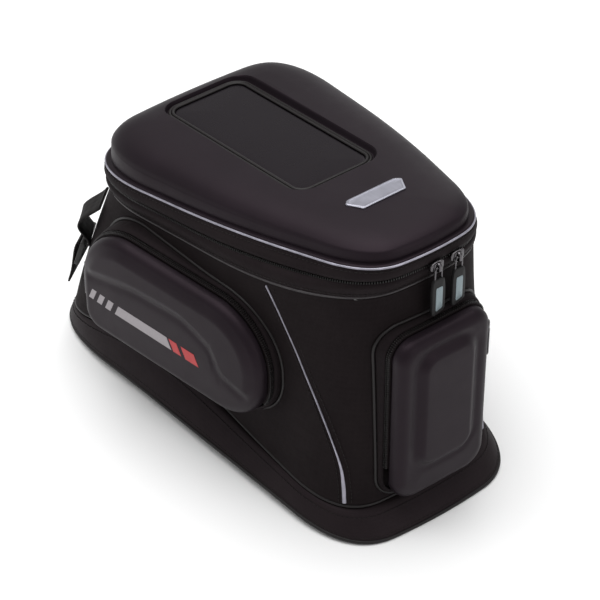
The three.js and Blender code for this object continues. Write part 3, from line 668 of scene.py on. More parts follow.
def add_wall():
    levels = np.linspace(0.012, 0.99, 78)
    outer = []
    for t in levels:
        ring = wall_ring(t, 0)
        normal = ring_normals(ring)
        fade = math.sin(math.pi * min(max((t - 0.01) / 0.98, 0), 1)) ** 0.5
        wander = crease(ring, 0.9, 0.013, 3.1) + crease(ring * (1, 1, 0.45), 0.45, 0.04, 8.4)
        outer.append(ring + normal * (wander * fade)[:, None])
    inner = [wall_ring(t, WALL_THICK) for t in levels[::6]]
    wall = loft("wall_fabric", shell_rings(outer, inner), wrapped=True, sharp=60,
                body="bag_body", slot="body_fabric", material=FABRIC)
    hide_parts("tub_wall")
    return outer, levels


def add_skirt():
    shares = np.linspace(0, 0.9, 16)
    outer = []
    for t in shares:
        ring = skirt_ring(t, 0)
        puff = 1.1 * math.sin(math.pi * t / 0.9) - 0.8 * (t > 0.85)
        outer.append(ring + ring_normals(ring) * puff)
    inner = [skirt_ring(t, SKIRT_THICK) for t in shares[::3]]
    lip = [skirt_ring(0, d) for d in (0.5, SKIRT_THICK - 0.5)]
    rings = [lip[0], *outer, *inner[::-1], lip[1]]
    skirt = loft("base_skirt_cover", rings, wrapped=True, sharp=55,
                 body="bag_body", slot="moulded_eva", material=SKIRT_EVA)
    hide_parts("base_skirt")
    for name, t, out in (("skirt_stitch_top", 0.72, 1.0), ("skirt_stitch_hem", 0.16, 0.6)):
        ring = skirt_ring(t, 0)
        normal = ring_normals(ring)
        stitches(name, ring + normal * out, normal, "bag_body", closed=True)
    binding = skirt_ring(0.03, 0)
    cord_on("hem_binding", binding, 1.5, out=-0.6, squash=1.25, body="bag_body",
            slot="moulded_eva", material=EDGE_PIPING)


def add_pipings():
    seam = cord_on("seam_welt", skirt_ring(1, 0), 1.5, out=-1.1, body="bag_body",
                   slot="zip_tape", material=EDGE_PIPING)
    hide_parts("skirt_piping")
    # The lower piping takes the darker copy of the silver piping finish, so its colour carries painted shade.
    lower = cord_on("lower_silver_piping", band_ring(0, 0), 0.95, out=0.1, body="bag_body",
                    slot="reflective_piping", material=PAINTED_SHADE_PIPING)
    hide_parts("lower_piping")
    base = band_ring(0, 0)
    cord_on("lower_piping_seat", base + (0, 0, -0.9), 1.5, out=-1.1, body="bag_body",
            slot="zip_tape", material=TAPE)
    upper = cord_on("upper_silver_piping", band_ring(1, 0), 0.95, out=0.6, body="lid",
                    slot="reflective_piping", material=PIPING)
    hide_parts("upper_piping")
    cord_on("upper_piping_seat", band_ring(1, 0) + (0, 0, -1.0), 1.5, out=-0.9, body="lid",
            slot="zip_tape", material=TAPE)


def add_zip_bands():
    """Rain flaps over the zip: each tape rolls in towards the middle of the band."""
    spans = {"lower": (0.03, 0.46, "bag_body"), "upper": (0.54, 0.97, "lid")}
    for label, (low, high, body) in spans.items():
        shares = np.linspace(0, 1, 22)
        outer = []
        for s in shares:
            t = low + (high - low) * s
            nearness = s if label == "lower" else 1 - s
            ring = band_ring(t, 0)
            bulge = 0.5 + 1.3 * math.sin(math.pi * nearness ** 1.4) - 1.7 * nearness ** 9
            wander = crease(ring, 0.5, 0.03, 5.0 if label == "lower" else 9.0)
            outer.append(ring + ring_normals(ring) * (bulge + wander * math.sin(math.pi * s))[:, None])
        inner = [band_ring(low + (high - low) * s, 1.6) for s in shares[::4]]
        flap = loft(f"{label}_zip_flap", shell_rings(outer, inner), wrapped=True, sharp=60,
                    body=body, slot="zip_tape", material=TAPE)
        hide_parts(f"{label}_zip_tape")
        t = low + (high - low) * (0.2 if label == "lower" else 0.8)
        ring = band_ring(t, 0)
        normal = ring_normals(ring)
        stitches(f"{label}_flap_stitch", ring + normal * 1.2, normal, body, closed=True)


def teeth(name, path, side, up, pitch, size, body, replaces, slot="zip_coil"):
    """Row of moulded zip teeth: rounded blocks set crosswise on a path."""
    path = np.asarray(path, float)
    steps = np.linalg.norm(np.diff(path, axis=0), axis=1)
    along = np.concatenate([[0], np.cumsum(steps)])
    count = int(along[-1] / pitch)
    w, l, h = size
    verts, faces, uvs = [], [], []
    shape = [(-1, -1, -1), (1, -1, -1), (1, 1, -1), (-1, 1, -1), (-0.7, -0.6, 1), (0.7, -0.6, 1),
             (0.7, 0.6, 1), (-0.7, 0.6, 1)]
    quads = [(0, 3, 2, 1), (4, 5, 6, 7), (0, 1, 5, 4), (1, 2, 6, 5), (2, 3, 7, 6), (3, 0, 4, 7)]
    for i in range(count):
        s = (i + 0.5) * along[-1] / count
        p, a, n = (sample(s, along, data) for data in (path, side, up))
        a /= np.linalg.norm(a)
        n /= np.linalg.norm(n)
        t = np.cross(a, n)
        base = len(verts)
        verts += [p + a * x * w / 2 + t * y * l / 2 + n * z * h / 2 for x, y, z in shape]
        faces += [tuple(base + k for k in q) for q in quads]
        uvs += [(0, 0), (MM, 0), (MM, MM), (0, MM)] * 6
    obj = new_object(name, verts, faces, uvs, sharp=30, body=body, slot=slot, material=COIL)
    if replaces:
        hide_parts(replaces)
    return obj


def open_run(ring, keep):
    """The kept points of a closed ring as one open run, in order."""
    index = np.flatnonzero(keep)
    breaks = np.flatnonzero(np.diff(index) > 1)
    if len(breaks):
        index = np.concatenate([index[breaks[0] + 1:], index[:breaks[0] + 1]])
    return index


def add_main_zip():
    for label, t, body in (("lower", 0.482, "bag_body"), ("upper", 0.518, "lid")):
        ring = band_ring(t, 1.0)
        keep = (ring[:, 1] < 100) | (np.abs(ring[:, 0]) > 62)
        index = open_run(ring, keep)
        run = ring[index]
        out = ring_normals(ring)[index]
        up = np.broadcast_to((0.0, 0.0, 1.0), run.shape)
        teeth(f"{label}_zip_teeth", run, up, out, 2.1, (1.5, 1.15, 1.5), body, f"{label}_zip_coil")
    guard = band_ring(0.48, 4.2)
    guard = guard[open_run(guard, (guard[:, 1] < 100) | (np.abs(guard[:, 0]) > 66))]
    ribbon("zip_guard", guard, (0, 0, 1), 7.2, 2.4, body="bag_body", slot="zip_tape", material=TAPE)
    ring = band_ring(0.5, 1.0)
    hinge = ring[open_run(ring, (ring[:, 1] > 0) & (np.abs(ring[:, 0]) < 60))]
    strip = ribbon("hinge_fabric", hinge, (0, 0, 1), 5.2, 1.2, body="lid", slot="zip_tape", material=TAPE)
    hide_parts("lid_hinge_strip")


SEAM_TRACE = [(0.02, -172), (0.1, -170.5), (0.2, -167), (0.32, -158), (0.45, -145), (0.6, -128), (0.75, -113),
              (0.88, -102), (0.975, -94)]


def flank_point(t, y, sign):
    ring = wall_ring(t, 0)
    normal = ring_normals(ring)
    flank = np.flatnonzero((sign * ring[:, 0] > 20))
    order = flank[np.argsort(ring[flank, 1])]
    return tuple(sample(y, ring[order, 1], data[order]) for data in (ring, normal))


def add_flank_seams():
    trace = smooth_path([(t * 200, y, 0) for t, y in SEAM_TRACE], 90)
    for sign, label in ((-1, "left"), (1, "right")):
        spots = [flank_point(p[0] / 200, p[1], sign) for p in trace]
        path = np.array([p for p, _ in spots])
        out = np.array([n for _, n in spots])
        out /= np.linalg.norm(out, axis=1)[:, None]
        along = np.gradient(path, axis=0)
        along /= np.linalg.norm(along, axis=1)[:, None]
        across = np.cross(along, out)
        share = np.linspace(0, 1, len(path))
        half = 0.5 + 1.2 * (1 - smoothstep(0.05, 0.3, share))
        rings = []
        for p, n, a, w in zip(path, out, across, half):
            angle = np.linspace(0, 2 * math.pi, 14, endpoint=False)
            rings.append(p + n * 0.5 + np.outer(np.cos(angle) * w, a) + np.outer(np.sin(angle) * 0.95, n))
        closed = [np.repeat(rings[0].mean(0)[None], 14, 0), *rings, np.repeat(rings[-1].mean(0)[None], 14, 0)]
        cord = loft(f"flank_piping_{label}", closed, sharp=70, body="bag_body",
                    slot="reflective_piping", material=PIPING)
        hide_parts(f"seam_piping_{label}")
        rear = across * (1 if across[40][1] < 0 else -1)
        stitches(f"flank_stitch_{label}", path + rear * 6 + out * 0.3, out, "bag_body")
        stitches(f"flank_stitch_front_{label}", path - rear * 4.5 + out * 0.3, out, "bag_body")


# ---- lid ---------------------------------------------------------------------------------------

UPPER_LOOP = outline(UPPER)


def dome_height(x, y):
    """Height of the lid's outer surface from the true distance in from its edge."""
    plan = np.column_stack([x, y])
    d = distance_to_loop(plan, UPPER_LOOP)
    reach, share = zip(*DOME)
    soft = np.interp(d, *curve_of(reach, share))
    return UPPER_Z + UPPER_SLOPE * y + 2.2 + soft * (CROWN_HEIGHT + CROWN_SLOPE * y)


def curve_of(reach, share):
    pts = smooth_path([(a, b * 40, 0) for a, b in zip(reach, share)], 200)
    xs = np.maximum.accumulate(pts[:, 0])
    return np.append(xs, 400), np.append(pts[:, 1] / 40, 1.0)


def window_plane(y):
    return WINDOW["z"] + WINDOW["slope"] * y


def window_frame():
    tilt = math.atan(WINDOW["slope"])
    y = (WINDOW["y0"] + WINDOW["y1"]) / 2
    return frame_of((0, y, window_plane(y)), (1, 0, 0), (0, math.cos(tilt), math.sin(tilt)))


def window_loop(out, rise):
    """Rounded rectangle `out` mm outside the window edge, `rise` mm above the window plane."""
    length = WINDOW["y1"] - WINDOW["y0"] + 2 * out
    loop = rounded_loop(2 * (WINDOW["half"] + out), length, [WINDOW["radius"] + out] * 4)
    return placed(window_frame(), lifted(loop, np.full(len(loop), float(rise))))


def smooth_min(a, b, k):
    h = np.clip(0.5 + 0.5 * (b - a) / k, 0, 1)
    return b * (1 - h) + a * h - k * h * (1 - h)


def add_lid():
    edge = UPPER_LOOP
    shoulder = window_loop(RECESS_MARGIN + 3, 0)[:, :2]
    flange = [(-0.2, 0.3), (-0.4, 1.2), (0.2, 2.0), (1.0, 2.2), (2.4, 2.3), (3.4, 2.35)]
    rings = []
    for d, rise in flange:
        plan = outline(inset(UPPER, d))
        rings.append(lifted(plan, UPPER_Z + UPPER_SLOPE * plan[:, 1] + rise))
    near_edge = [0.0, 0.004, 0.009, 0.015, 0.022, 0.03, 0.04, 0.052, 0.066, 0.08, 0.1, 0.12]
    steps = np.concatenate([near_edge, np.linspace(0.14, 1, 40)])
    start = outline(inset(UPPER, 4.0))
    for w in steps:
        plan = start * (1 - w) + shoulder * w
        z = dome_height(plan[:, 0], plan[:, 1])
        d = distance_to_loop(plan, UPPER_LOOP)
        z = z - 1.6 * np.exp(-((d - 4.0) / 1.1) ** 2)
        rings.append(lifted(plan, z))
    floor_rise = 0.2
    for out in np.concatenate([np.linspace(RECESS_MARGIN + 2.5, 3.0, 24), [2.4]]):
        loop = window_loop(out, 0)
        plan = loop[:, :2]
        over = dome_height(plan[:, 0], plan[:, 1])
        wall = smoothstep(6.5, 11.5, out)
        funnel = window_plane(plan[:, 1]) + floor_rise + wall * 16
        rings.append(lifted(plan, smooth_min(over, funnel, 2.6)))
    outer = rings
    under = [ring - (0, 0, LID_THICK) for ring in outer[len(flange)::4]]
    rim_in = outline(inset(UPPER, 5.5))
    low = lifted(rim_in, UPPER_Z + UPPER_SLOPE * rim_in[:, 1] + 0.3)
    last = outer[-1] - (0, 0, 2.0)
    inner = [low, *under, last]
    lid = loft("lid_cover", outer + inner[::-1], wrapped=True, sharp=50,
               body="lid", slot="moulded_eva", material=EVA)
    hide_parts("lid_shell")


def add_window():
    panel_w = 2 * WINDOW["half"]
    rings = []
    length = WINDOW["y1"] - WINDOW["y0"]
    crown = ((0, -0.9), (0, 0.1), (0.4, 0.45), (1.5, 0.6), (6, 0.75), (14, 0.95), (22, 1.1), (30, 1.15))
    for shrink, rise in crown:
        corner = max(WINDOW["radius"] - shrink, 1.5)
        loop = rounded_loop(panel_w - 2 * shrink, length - 2 * shrink, [corner] * 4)
        rings.append(placed(window_frame(), lifted(loop, np.full(len(loop), float(rise)))))
    panel = loft("window_film_panel", rings, cap_last=True, sharp=40, body="lid",
                 slot="window_film", material=FILM)
    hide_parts("window_panel")
    welts = [("window_welt_inner", 1.6, 1.5, 1.15), ("window_welt_outer", 4.4, 1.25, 0.95)]
    for name, out, radius, rise in welts:
        path = window_loop(out, rise)
        cord = cord_on(name, path, radius, squash=0.8, body="lid", slot="soft_rubber", material=EDGE_PIPING)
        if name == "window_welt_inner":
            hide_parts("window_rim")


def add_emblem():
    """Blank bevelled plate on the rear of the lid."""
    r, f, y0, y1 = EMBLEM["rear"], EMBLEM["front"], EMBLEM["y0"], EMBLEM["y1"]
    corners = np.array([(-r, y0), (r, y0), (f, y1 - 4), (f - 4, y1), (-f + 4, y1), (-f, y1 - 4)], float)
    centre = corners.mean(0)

    def loop(shrink, rise):
        dense = []
        for i, c in enumerate(corners):
            before, after = corners[i - 1], corners[(i + 1) % 6]
            cut = 1.4
            a = c + (before - c) / np.linalg.norm(before - c) * cut
            b = c + (after - c) / np.linalg.norm(after - c) * cut
            for t in np.linspace(0, 1, 6):
                dense.append((1 - t) ** 2 * a + 2 * t * (1 - t) * c + t ** 2 * b)
            for t in np.linspace(0, 1, 10)[1:-1]:
                nxt = after + (c - after) / np.linalg.norm(c - after) * cut
                dense.append(b * (1 - t) + nxt * t)
        plan = np.array(dense)
        span = np.abs(plan - centre)
        plan = centre + np.sign(plan - centre) * np.maximum(span - shrink * span / (span + 3), 0)
        return lifted(plan, dome_height(plan[:, 0], plan[:, 1]) + rise)

    rings = [loop(0, -0.4), loop(0, 0.9), loop(0.35, 1.3), loop(1.6, 1.5), loop(1.9, 1.15), loop(2.6, 1.05)]
    for share in (0.7, 0.4, 0.1):
        ring = loop(2.6, 1.05)
        plan = centre + (ring[:, :2] - centre) * share
        rings.append(lifted(plan, dome_height(plan[:, 0], plan[:, 1]) + 1.05))
    plate = loft("emblem_blank_plate", rings, cap_last=True, sharp=35, body="lid",
                 slot="emblem_metal", material=EMBLEM_METAL)
    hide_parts("emblem_plate")


# ---- pockets -----------------------------------------------------------------------------------

def side_frame(sign):
    n = np.array((sign, -SIDE["toe"], 0.0))
    n /= np.linalg.norm(n)
    v = np.array((0.0, 0.0, 1.0))
    x = SIDE["wall_x"] + SIDE["toe"] * SIDE["y"]
    return frame_of((sign * x, SIDE["y"], SIDE["z"]), np.cross(v, n), v)


def rear_frame():
    return frame_of((0, REAR["y"], REAR["z"]), (1, 0, 0), (0, 0, 1))


STEP_LINE = [(110, 2), (88, 8), (64, 14), (40, 19), (10, 21), (-19, 21), (-47, 11), (-55, 1), (-63, -11),
             (-74, -16), (-85, -19), (-110, -24)]


def side_relief(u, v, d):
    """Height of a side pocket's face above its flat level; u is positive towards the front."""
    line = smooth_path([(a, b, 0) for a, b in STEP_LINE], 160)
    order = np.argsort(line[:, 0])
    level = np.interp(u, line[order, 0], line[order, 1])
    slope = np.gradient(line[order, 1]) / np.gradient(line[order, 0])
    tilt = np.interp(u, line[order, 0], slope)
    gap = (v - level) / np.sqrt(1 + tilt ** 2)
    step = smoothstep(-5.5, 6.5, gap)
    trough = -0.9 * np.exp(-((gap + 4) / 5) ** 2)
    edge = smoothstep(5, 15, d)
    swell = 1.2 * smoothstep(4, 46, d)
    return (2.6 * step + trough) * edge + swell - 0.3


def rounded_box_distance(u, v, half_u, half_v, radius):
    """Signed distance to a rounded rectangle about the origin, positive inside."""
    qu = np.abs(u) - half_u + radius
    qv = np.abs(v) - half_v + radius
    outside = np.hypot(np.maximum(qu, 0), np.maximum(qv, 0))
    return radius - outside - np.minimum(np.maximum(qu, qv), 0)


def rear_relief(u, v, d):
    """Raised panel with soft shoulders on the rear pocket's face."""
    signed = rounded_box_distance(u, v - 9, 27, 57, 15)
    plateau = smoothstep(-4, 5, signed)
    groove = -0.8 * np.exp(-((signed + 4.5) / 3.2) ** 2)
    return 4.0 * plateau + groove + 0.8 * smoothstep(3, 30, d)


def pocket_surface(p, layers, radii, relief, mirror, bevel):
    """Rings of a pocket's outer face from its rim to the middle, in local coordinates."""
    edge = rounded_loop(p["length"], p["height"], radii)
    rim, face = layers["rim"], layers["face"]
    rings = []
    lip = [(0.9, rim), (0.2, rim + 0.35), (0.0, rim + 1.1), (0.0, rim + 2.2)]
    for d, z in lip:
        loop = rounded_loop(p["length"] - 2 * d, p["height"] - 2 * d, [r - d for r in radii])
        rings.append(lifted(loop, np.full(len(loop), z)))
    for s in np.linspace(0, 1, 18)[1:]:
        angle = s * math.pi / 2
        d = bevel * (1 - math.cos(angle))
        z = face - bevel + bevel * math.sin(angle)
        if z <= rim + 2.2:
            continue
        loop = rounded_loop(p["length"] - 2 * d, p["height"] - 2 * d, [r - 0.7 * d for r in radii])
        height = relief(mirror * loop[:, 0], loop[:, 1], np.full(len(loop), d)) * smoothstep(0.3, 1, s)
        rings.append(lifted(loop, z + height))
    last = rings[-1][:, :2]
    for scale in np.concatenate([np.linspace(0.985, 0.12, 52), [0.05]]):
        loop = last * scale
        d = distance_to_loop(loop, edge)
        rings.append(lifted(loop, face + relief(mirror * loop[:, 0], loop[:, 1], d)))
    return rings


def add_pocket(label, p, layers, place_frame, radii, relief, mirror, bevel=9):
    rings = pocket_surface(p, layers, radii, relief, mirror, bevel)
    outer = [placed(place_frame, r) for r in rings]
    inside = []
    for d, z in ((2.4, layers["rim"]), (2.4, layers["face"] - bevel), (2.4 + bevel * 0.4, layers["face"] - 4),
                 (2.4 + bevel, layers["face"] - 2.6)):
        loop = rounded_loop(p["length"] - 2 * d, p["height"] - 2 * d, [r - 0.7 * d for r in radii])
        inside.append(placed(place_frame, lifted(loop, np.full(len(loop), float(z)))))
    inner_mid = inside[-1].mean(0)
    tail = [inner_mid + (inside[-1] - inner_mid) * k for k in (0.6, 0.3, 0.05)]
    chain = [*tail[::-1], *inside[::-1], *outer]
    verts, faces, uvs = loft_data(chain)
    cols = len(outer[0])
    faces.append([j for j in range(cols)][::-1])
    uvs += [(0, 0)] * cols
    faces.append([(len(chain) - 1) * cols + j for j in range(cols)])
    uvs += [(0, 0)] * cols
    shell = new_object(f"{label}_pocket_cover", verts, faces, uvs, sharp=50,
                       body=f"{label}_pocket_front", slot="moulded_eva", material=EVA)
    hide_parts(f"{label}_pocket_shell")
    return rings


def wall_hits(tree, place_frame, loop, z_from):
    """Local height where the line from each loop point back towards the bag meets its wall."""
    origin, _, _, n = place_frame
    found = []
    for p in placed(place_frame, lifted(loop, np.full(len(loop), float(z_from)))):
        hit = tree.ray_cast(Vector(p * MM), Vector(-n), 0.09)
        found.append(z_from - hit[3] / MM if hit[0] is not None else None)
    known = [z for z in found if z is not None]
    low = min(known)
    return np.array([low if z is None else z for z in found])


def add_gusset(label, p, layers, place_frame, radii, tree):
    lip = layers["lip"]
    grow = 3.0

    def loop_at(extra):
        return rounded_loop(p["length"] + 2 * (grow + extra), p["height"] + 2 * (grow + extra),
                            [r + grow + extra for r in radii])

    start = wall_hits(tree, place_frame, loop_at(0.0), lip)
    start = np.convolve(np.concatenate([start[-6:], start, start[:6]]), np.ones(13) / 13, "valid") - 0.8
    shares = np.linspace(0, 1, 16)
    outer = []
    for s in shares:
        puff = 1.6 * math.sin(math.pi * s) ** 0.8 + 1.8 * (1 - s) ** 6
        loop = loop_at(puff)
        world = placed(place_frame, lifted(loop, start * (1 - s) + lip * s))
        outer.append(world)
    inner = []
    for s in shares[::5]:
        loop = loop_at(-1.8)
        inner.append(placed(place_frame, lifted(loop, start * (1 - s) + lip * s)))
    gusset = loft(f"{label}_pocket_side", shell_rings(outer, inner), wrapped=True, sharp=60,
                  body="bag_body", slot="zip_tape", material=GUSSET)
    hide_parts(f"{label}_pocket_gusset")
    welt = placed(place_frame, lifted(loop_at(2.6), start + 1.2))
    welt_cord(f"{label}_pocket_welt", welt, 1.3, place_frame)


def welt_cord(name, path, radius, place_frame, material=None, body="bag_body", slot="zip_tape"):
    n = place_frame[3]
    along = np.roll(path, -1, 0) - np.roll(path, 1, 0)
    along /= np.linalg.norm(along, axis=1)[:, None]
    side = np.cross(along, n)
    side /= np.linalg.norm(side, axis=1)[:, None]
    up = np.cross(side, along)
    rings = tube_rings(path, side, up, round_section(radius, 10))
    return loft(name, rings, wrapped=True, sharp=70, body=body, slot=slot, material=material or EDGE_PIPING)


def add_pocket_zip(label, p, layers, place_frame, radii):
    drop = -0.3 * p["height"]
    n = place_frame[3]
    for part, level, body in (("fixed", layers["zip_fixed"], "bag_body"),
                              ("moving", layers["zip_moving"], f"{label}_pocket_front")):
        wide = 1.5
        loop = rounded_loop(p["length"] + 2 * wide, p["height"] + 2 * wide, [r + wide for r in radii])
        keep = loop[:, 1] > drop
        index = open_run(loop, keep)
        local = lifted(loop[index], np.full(len(index), float(level)))
        run = placed(place_frame, local)
        along = np.gradient(run, axis=0)
        along /= np.linalg.norm(along, axis=1)[:, None]
        out = np.cross(n, along)
        if np.dot(out[len(out) // 2], place_frame[2]) < 0:
            out = -out
        up = np.broadcast_to(n, run.shape)
        section = [(-1.1, -0.9), (0.9, -0.9), (1.1, 0), (0.9, 0.9), (-1.1, 0.9)]
        tape = tube_rings(run - out * 1.0, out, up, section)
        ends = [np.repeat(tape[0].mean(0)[None], 5, 0), *tape, np.repeat(tape[-1].mean(0)[None], 5, 0)]
        band = loft(f"{label}_pocket_{part}_tape", ends, sharp=50, body=body, slot="zip_coil", material=TAPE)
        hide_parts(f"{label}_pocket_zip_{part}")
        teeth(f"{label}_pocket_{part}_teeth", run + out * 0.5, up, out, 1.9, (1.5, 1.0, 1.2), body, None)


# ---- prints on the side pockets ----------------------------------------------------------------

def add_print(name, label, corners, rings, place_frame, material):
    """Thin printed shape that follows a pocket's face. corners are local (u, v)."""
    cloud = np.concatenate(rings[6:])
    steps_a = max(2, int(np.linalg.norm(np.subtract(corners[1], corners[0])) / 1.5))
    steps_b = max(2, int(np.linalg.norm(np.subtract(corners[3], corners[0])) / 1.5))
    c = np.array(corners, float)
    grid = []
    for i in range(steps_a + 1):
        s = i / steps_a
        for j in range(steps_b + 1):
            t = j / steps_b
            low = c[0] * (1 - s) + c[1] * s
            high = c[3] * (1 - s) + c[2] * s
            grid.append(low * (1 - t) + high * t)
    grid = np.array(grid)
    heights = []
    for q in grid:
        away = ((cloud[:, :2] - q) ** 2).sum(1)
        near = np.argpartition(away, 8)[:8]
        weight = 1 / (away[near] + 0.05)
        heights.append((cloud[near, 2] * weight).sum() / weight.sum())
    heights = np.array(heights)
    verts, faces, uvs = [], [], []
    rows, cols = steps_a + 1, steps_b + 1
    for lift in (0.16, -0.3):
        verts.append(placed(place_frame, lifted(grid, heights + lift)))
    verts = np.concatenate(verts)
    total = rows * cols
    for i in range(rows - 1):
        for j in range(cols - 1):
            a = i * cols + j
            quad = (a, a + cols, a + cols + 1, a + 1)
            faces.append(quad)
            faces.append(tuple(k + total for k in quad[::-1]))
            uvs += [(0, 0), (MM, 0), (MM, MM), (0, MM)] * 2
    border = [j for j in range(cols)] + [i * cols + cols - 1 for i in range(1, rows)]
    border += [(rows - 1) * cols + j for j in range(cols - 2, -1, -1)]
    border += [i * cols for i in range(rows - 2, 0, -1)]
    for a, b in zip(border, border[1:] + border[:1]):
        faces.append((a, b, b + total, a + total))
        uvs += [(0, 0), (MM, 0), (MM, MM), (0, MM)]
    return new_object(name, verts, faces, uvs, sharp=50, body=f"{label}_pocket_front",
                      slot="moulded_eva", material=material)


def add_prints(label, rings, place_frame, mirror):
    """Generic stripes low on a side pocket; the long axis runs front to rear."""
    low, high, lean = -20.5, -9.5, 5.0
    spans = [("bar_1", 94, 88.5, -lean), ("bar_2", 84, 78, -lean), ("bar_3", 73.5, 67, -lean),
             ("long_bar", 61.5, -5.5, lean)]
    for name, front, back, end_lean in spans:
        corners = [(front, low), (back, low), (back + end_lean, high), (front - lean, high)]
        corners = [(mirror * a, b) for a, b in corners]
        add_print(f"{label}_{name}", label, corners, rings, place_frame, STRIPE_GREY)
    for name, front, back in (("red_slash_1", -8, -17), ("red_slash_2", -22, -37)):
        corners = [(front, low), (back, low), (back + lean, high), (front + lean, high)]
        corners = [(mirror * a, b) for a, b in corners]
        add_print(f"{label}_{name}", label, corners, rings, place_frame, STRIPE_RED)


# ---- hardware ----------------------------------------------------------------------------------

def rounded_slab(width, height, radius, z0, z1, bevel=0.5, counts=(6, 6, 6, 6, 6, 6, 6, 6)):
    """Local rings of a bevelled rounded slab, from its lower to its upper face."""
    rings = []
    for d, z in ((bevel, z0), (bevel * 0.3, z0 + bevel * 0.3), (0, z0 + bevel), (0, z1 - bevel),
                 (bevel * 0.3, z1 - bevel * 0.3), (bevel, z1)):
        loop = rounded_loop(width - 2 * d, height - 2 * d, [max(radius - d, 0.4)] * 4, counts)
        rings.append(lifted(loop, np.full(len(loop), float(z))))
    return rings


def capped(rings):
    first = np.repeat(rings[0].mean(0)[None], len(rings[0]), 0)
    last = np.repeat(rings[-1].mean(0)[None], len(rings[-1]), 0)
    return [first, *rings, last]


def join_parts(name, parts, body, slot, material, sharp=38):
    """One object from several closed ring stacks."""
    verts, faces, uvs = [], [], []
    base = 0
    for rings, wrapped in parts:
        v, f, t = loft_data(rings if wrapped else capped(rings), wrapped)
        verts.append(v)
        faces += [tuple(k + base for k in q) for q in f]
        uvs += t
        base += len(v)
    return new_object(name, np.concatenate(verts), faces, uvs, sharp=sharp,
                      body=body, slot=slot, material=material)


def slider_frame_main(x):
    ring = band_ring(0.5, -1.5)
    rear = ring[ring[:, 1] < 0]
    near = rear[np.argmin(np.abs(rear[:, 0] - x))]
    return frame_of((x, near[1] - 1, near[2]), (0, 0, 1), (-1, 0, 0))


def slider_frame_pocket(p, place_frame, sign, height, layers):
    level = (layers["zip_fixed"] + layers["zip_moving"]) / 2
    out = place_frame[1] * sign
    up = np.array((0.0, 0.0, 1.0))
    origin = placed(place_frame, np.array([(sign * (p["length"] / 2 + 3.2), height, level)]))[0]
    return frame_of(origin, np.cross(up, out), up)


def add_slider(name, place_frame, crosswise, body, node):
    body_rings = rounded_slab(9, 13, 2.6, 0, 2.7, 0.7)
    for ring in body_rings:
        pinch = 1 - 0.22 * smoothstep(0.5, 6.5, ring[:, 1])
        ring[:, 0] *= pinch
    nose = rounded_slab(6.4, 7.4, 1.8, 2.5, 3.5, 0.45)
    span, width = (8.8, 2.6) if crosswise else (11.6, 2.6)
    path = smooth_path([(-span / 2 + 0.6, 0, 2.2), (-span / 2 + 0.9, 0, 4.8), (-span / 4, 0, 6.1),
                        (span / 4, 0, 6.1),
                        (span / 2 - 0.9, 0, 4.8), (span / 2 - 0.6, 0, 2.2)], 26)
    if not crosswise:
        path = path[:, [1, 0, 2]]
    across = (0, 1, 0) if crosswise else (1, 0, 0)
    along = np.gradient(path, axis=0)
    along /= np.linalg.norm(along, axis=1)[:, None]
    wide = np.broadcast_to(np.array(across, float), path.shape)
    up = np.cross(wide, along)
    section = [(-width / 2, -0.3), (-width / 2 + 0.4, -0.55), (width / 2 - 0.4, -0.55), (width / 2, -0.3),
               (width / 2, 0.3), (width / 2 - 0.4, 0.55), (-width / 2 + 0.4, 0.55), (-width / 2, 0.3)]
    bail = tube_rings(path, wide, up, section)
    parts = [([placed(place_frame, r) for r in rings], False) for rings in (body_rings, nose, bail)]
    slider = join_parts(name, parts, body, "hardware_metal", DARK_METAL)
    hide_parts(node)


def hanging_frame(place_frame):
    origin, _, _, n = place_frame
    at = origin + n * SLIDER_BAIL
    up = np.array((0.0, 0.0, 1.0))
    return frame_of(at, np.cross(up, n), up)


def wire_path(width, length, top=0.0, count=(8, 8, 8, 8, 8, 8, 8, 8)):
    loop = rounded_loop(width, length, [width * 0.45] * 4, count)
    return lifted(loop + (0, top - length / 2), np.zeros(len(loop)))


def wire_rings(path, radius, sides=10):
    along = np.roll(path, -1, 0) - np.roll(path, 1, 0)
    along /= np.linalg.norm(along, axis=1)[:, None]
    n = np.array((0.0, 0.0, 1.0))
    side = np.cross(along, n)
    return tube_rings(path, side, np.broadcast_to(n, path.shape), round_section(radius, sides))


def add_main_pull(label, x):
    slide = slider_frame_main(x)
    hang = hanging_frame(slide)
    add_slider(f"main_slider_metal_{label}", slide, True, f"main_slider_{label}", f"zip_slider_{label}")
    ring = [placed(hang, r) for r in wire_rings(wire_path(6.4, 14), 0.8)]
    loop = join_parts(f"main_wire_{label}", [(ring, True)], f"main_pull_{label}",
                      "hardware_metal", DARK_METAL)
    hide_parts(f"zip_loop_{label}")
    rings = rounded_slab(13, 36, 3.4, -1.9, 1.9, 1.1, (10, 10, 10, 10, 10, 10, 10, 10))
    for r in rings:
        r[:, 1] -= 28.5
        low = smoothstep(-38, -46.5, r[:, 1])
        r[:, 1] += low * (r[:, 0] * 0.28 + 1.6)
        waist = 1 - 0.14 * smoothstep(-24, -10.5, r[:, 1])
        r[:, 0] *= waist
    tab = join_parts(f"main_tab_{label}", [([placed(hang, r) for r in rings], False)],
                     f"main_pull_{label}", "soft_rubber", RUBBER)
    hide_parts(f"zip_tab_{label}")
    label_rings = rounded_slab(6.6, 22, 1.2, 1.7, 2.25, 0.18)
    for r in label_rings:
        r[:, 1] -= 29.5
        low = smoothstep(-34, -41, r[:, 1])
        r[:, 1] += low * r[:, 0] * 0.28
    join_parts(f"main_label_{label}", [([placed(hang, r) for r in label_rings], False)],
               f"main_pull_{label}", "soft_rubber", LABEL)


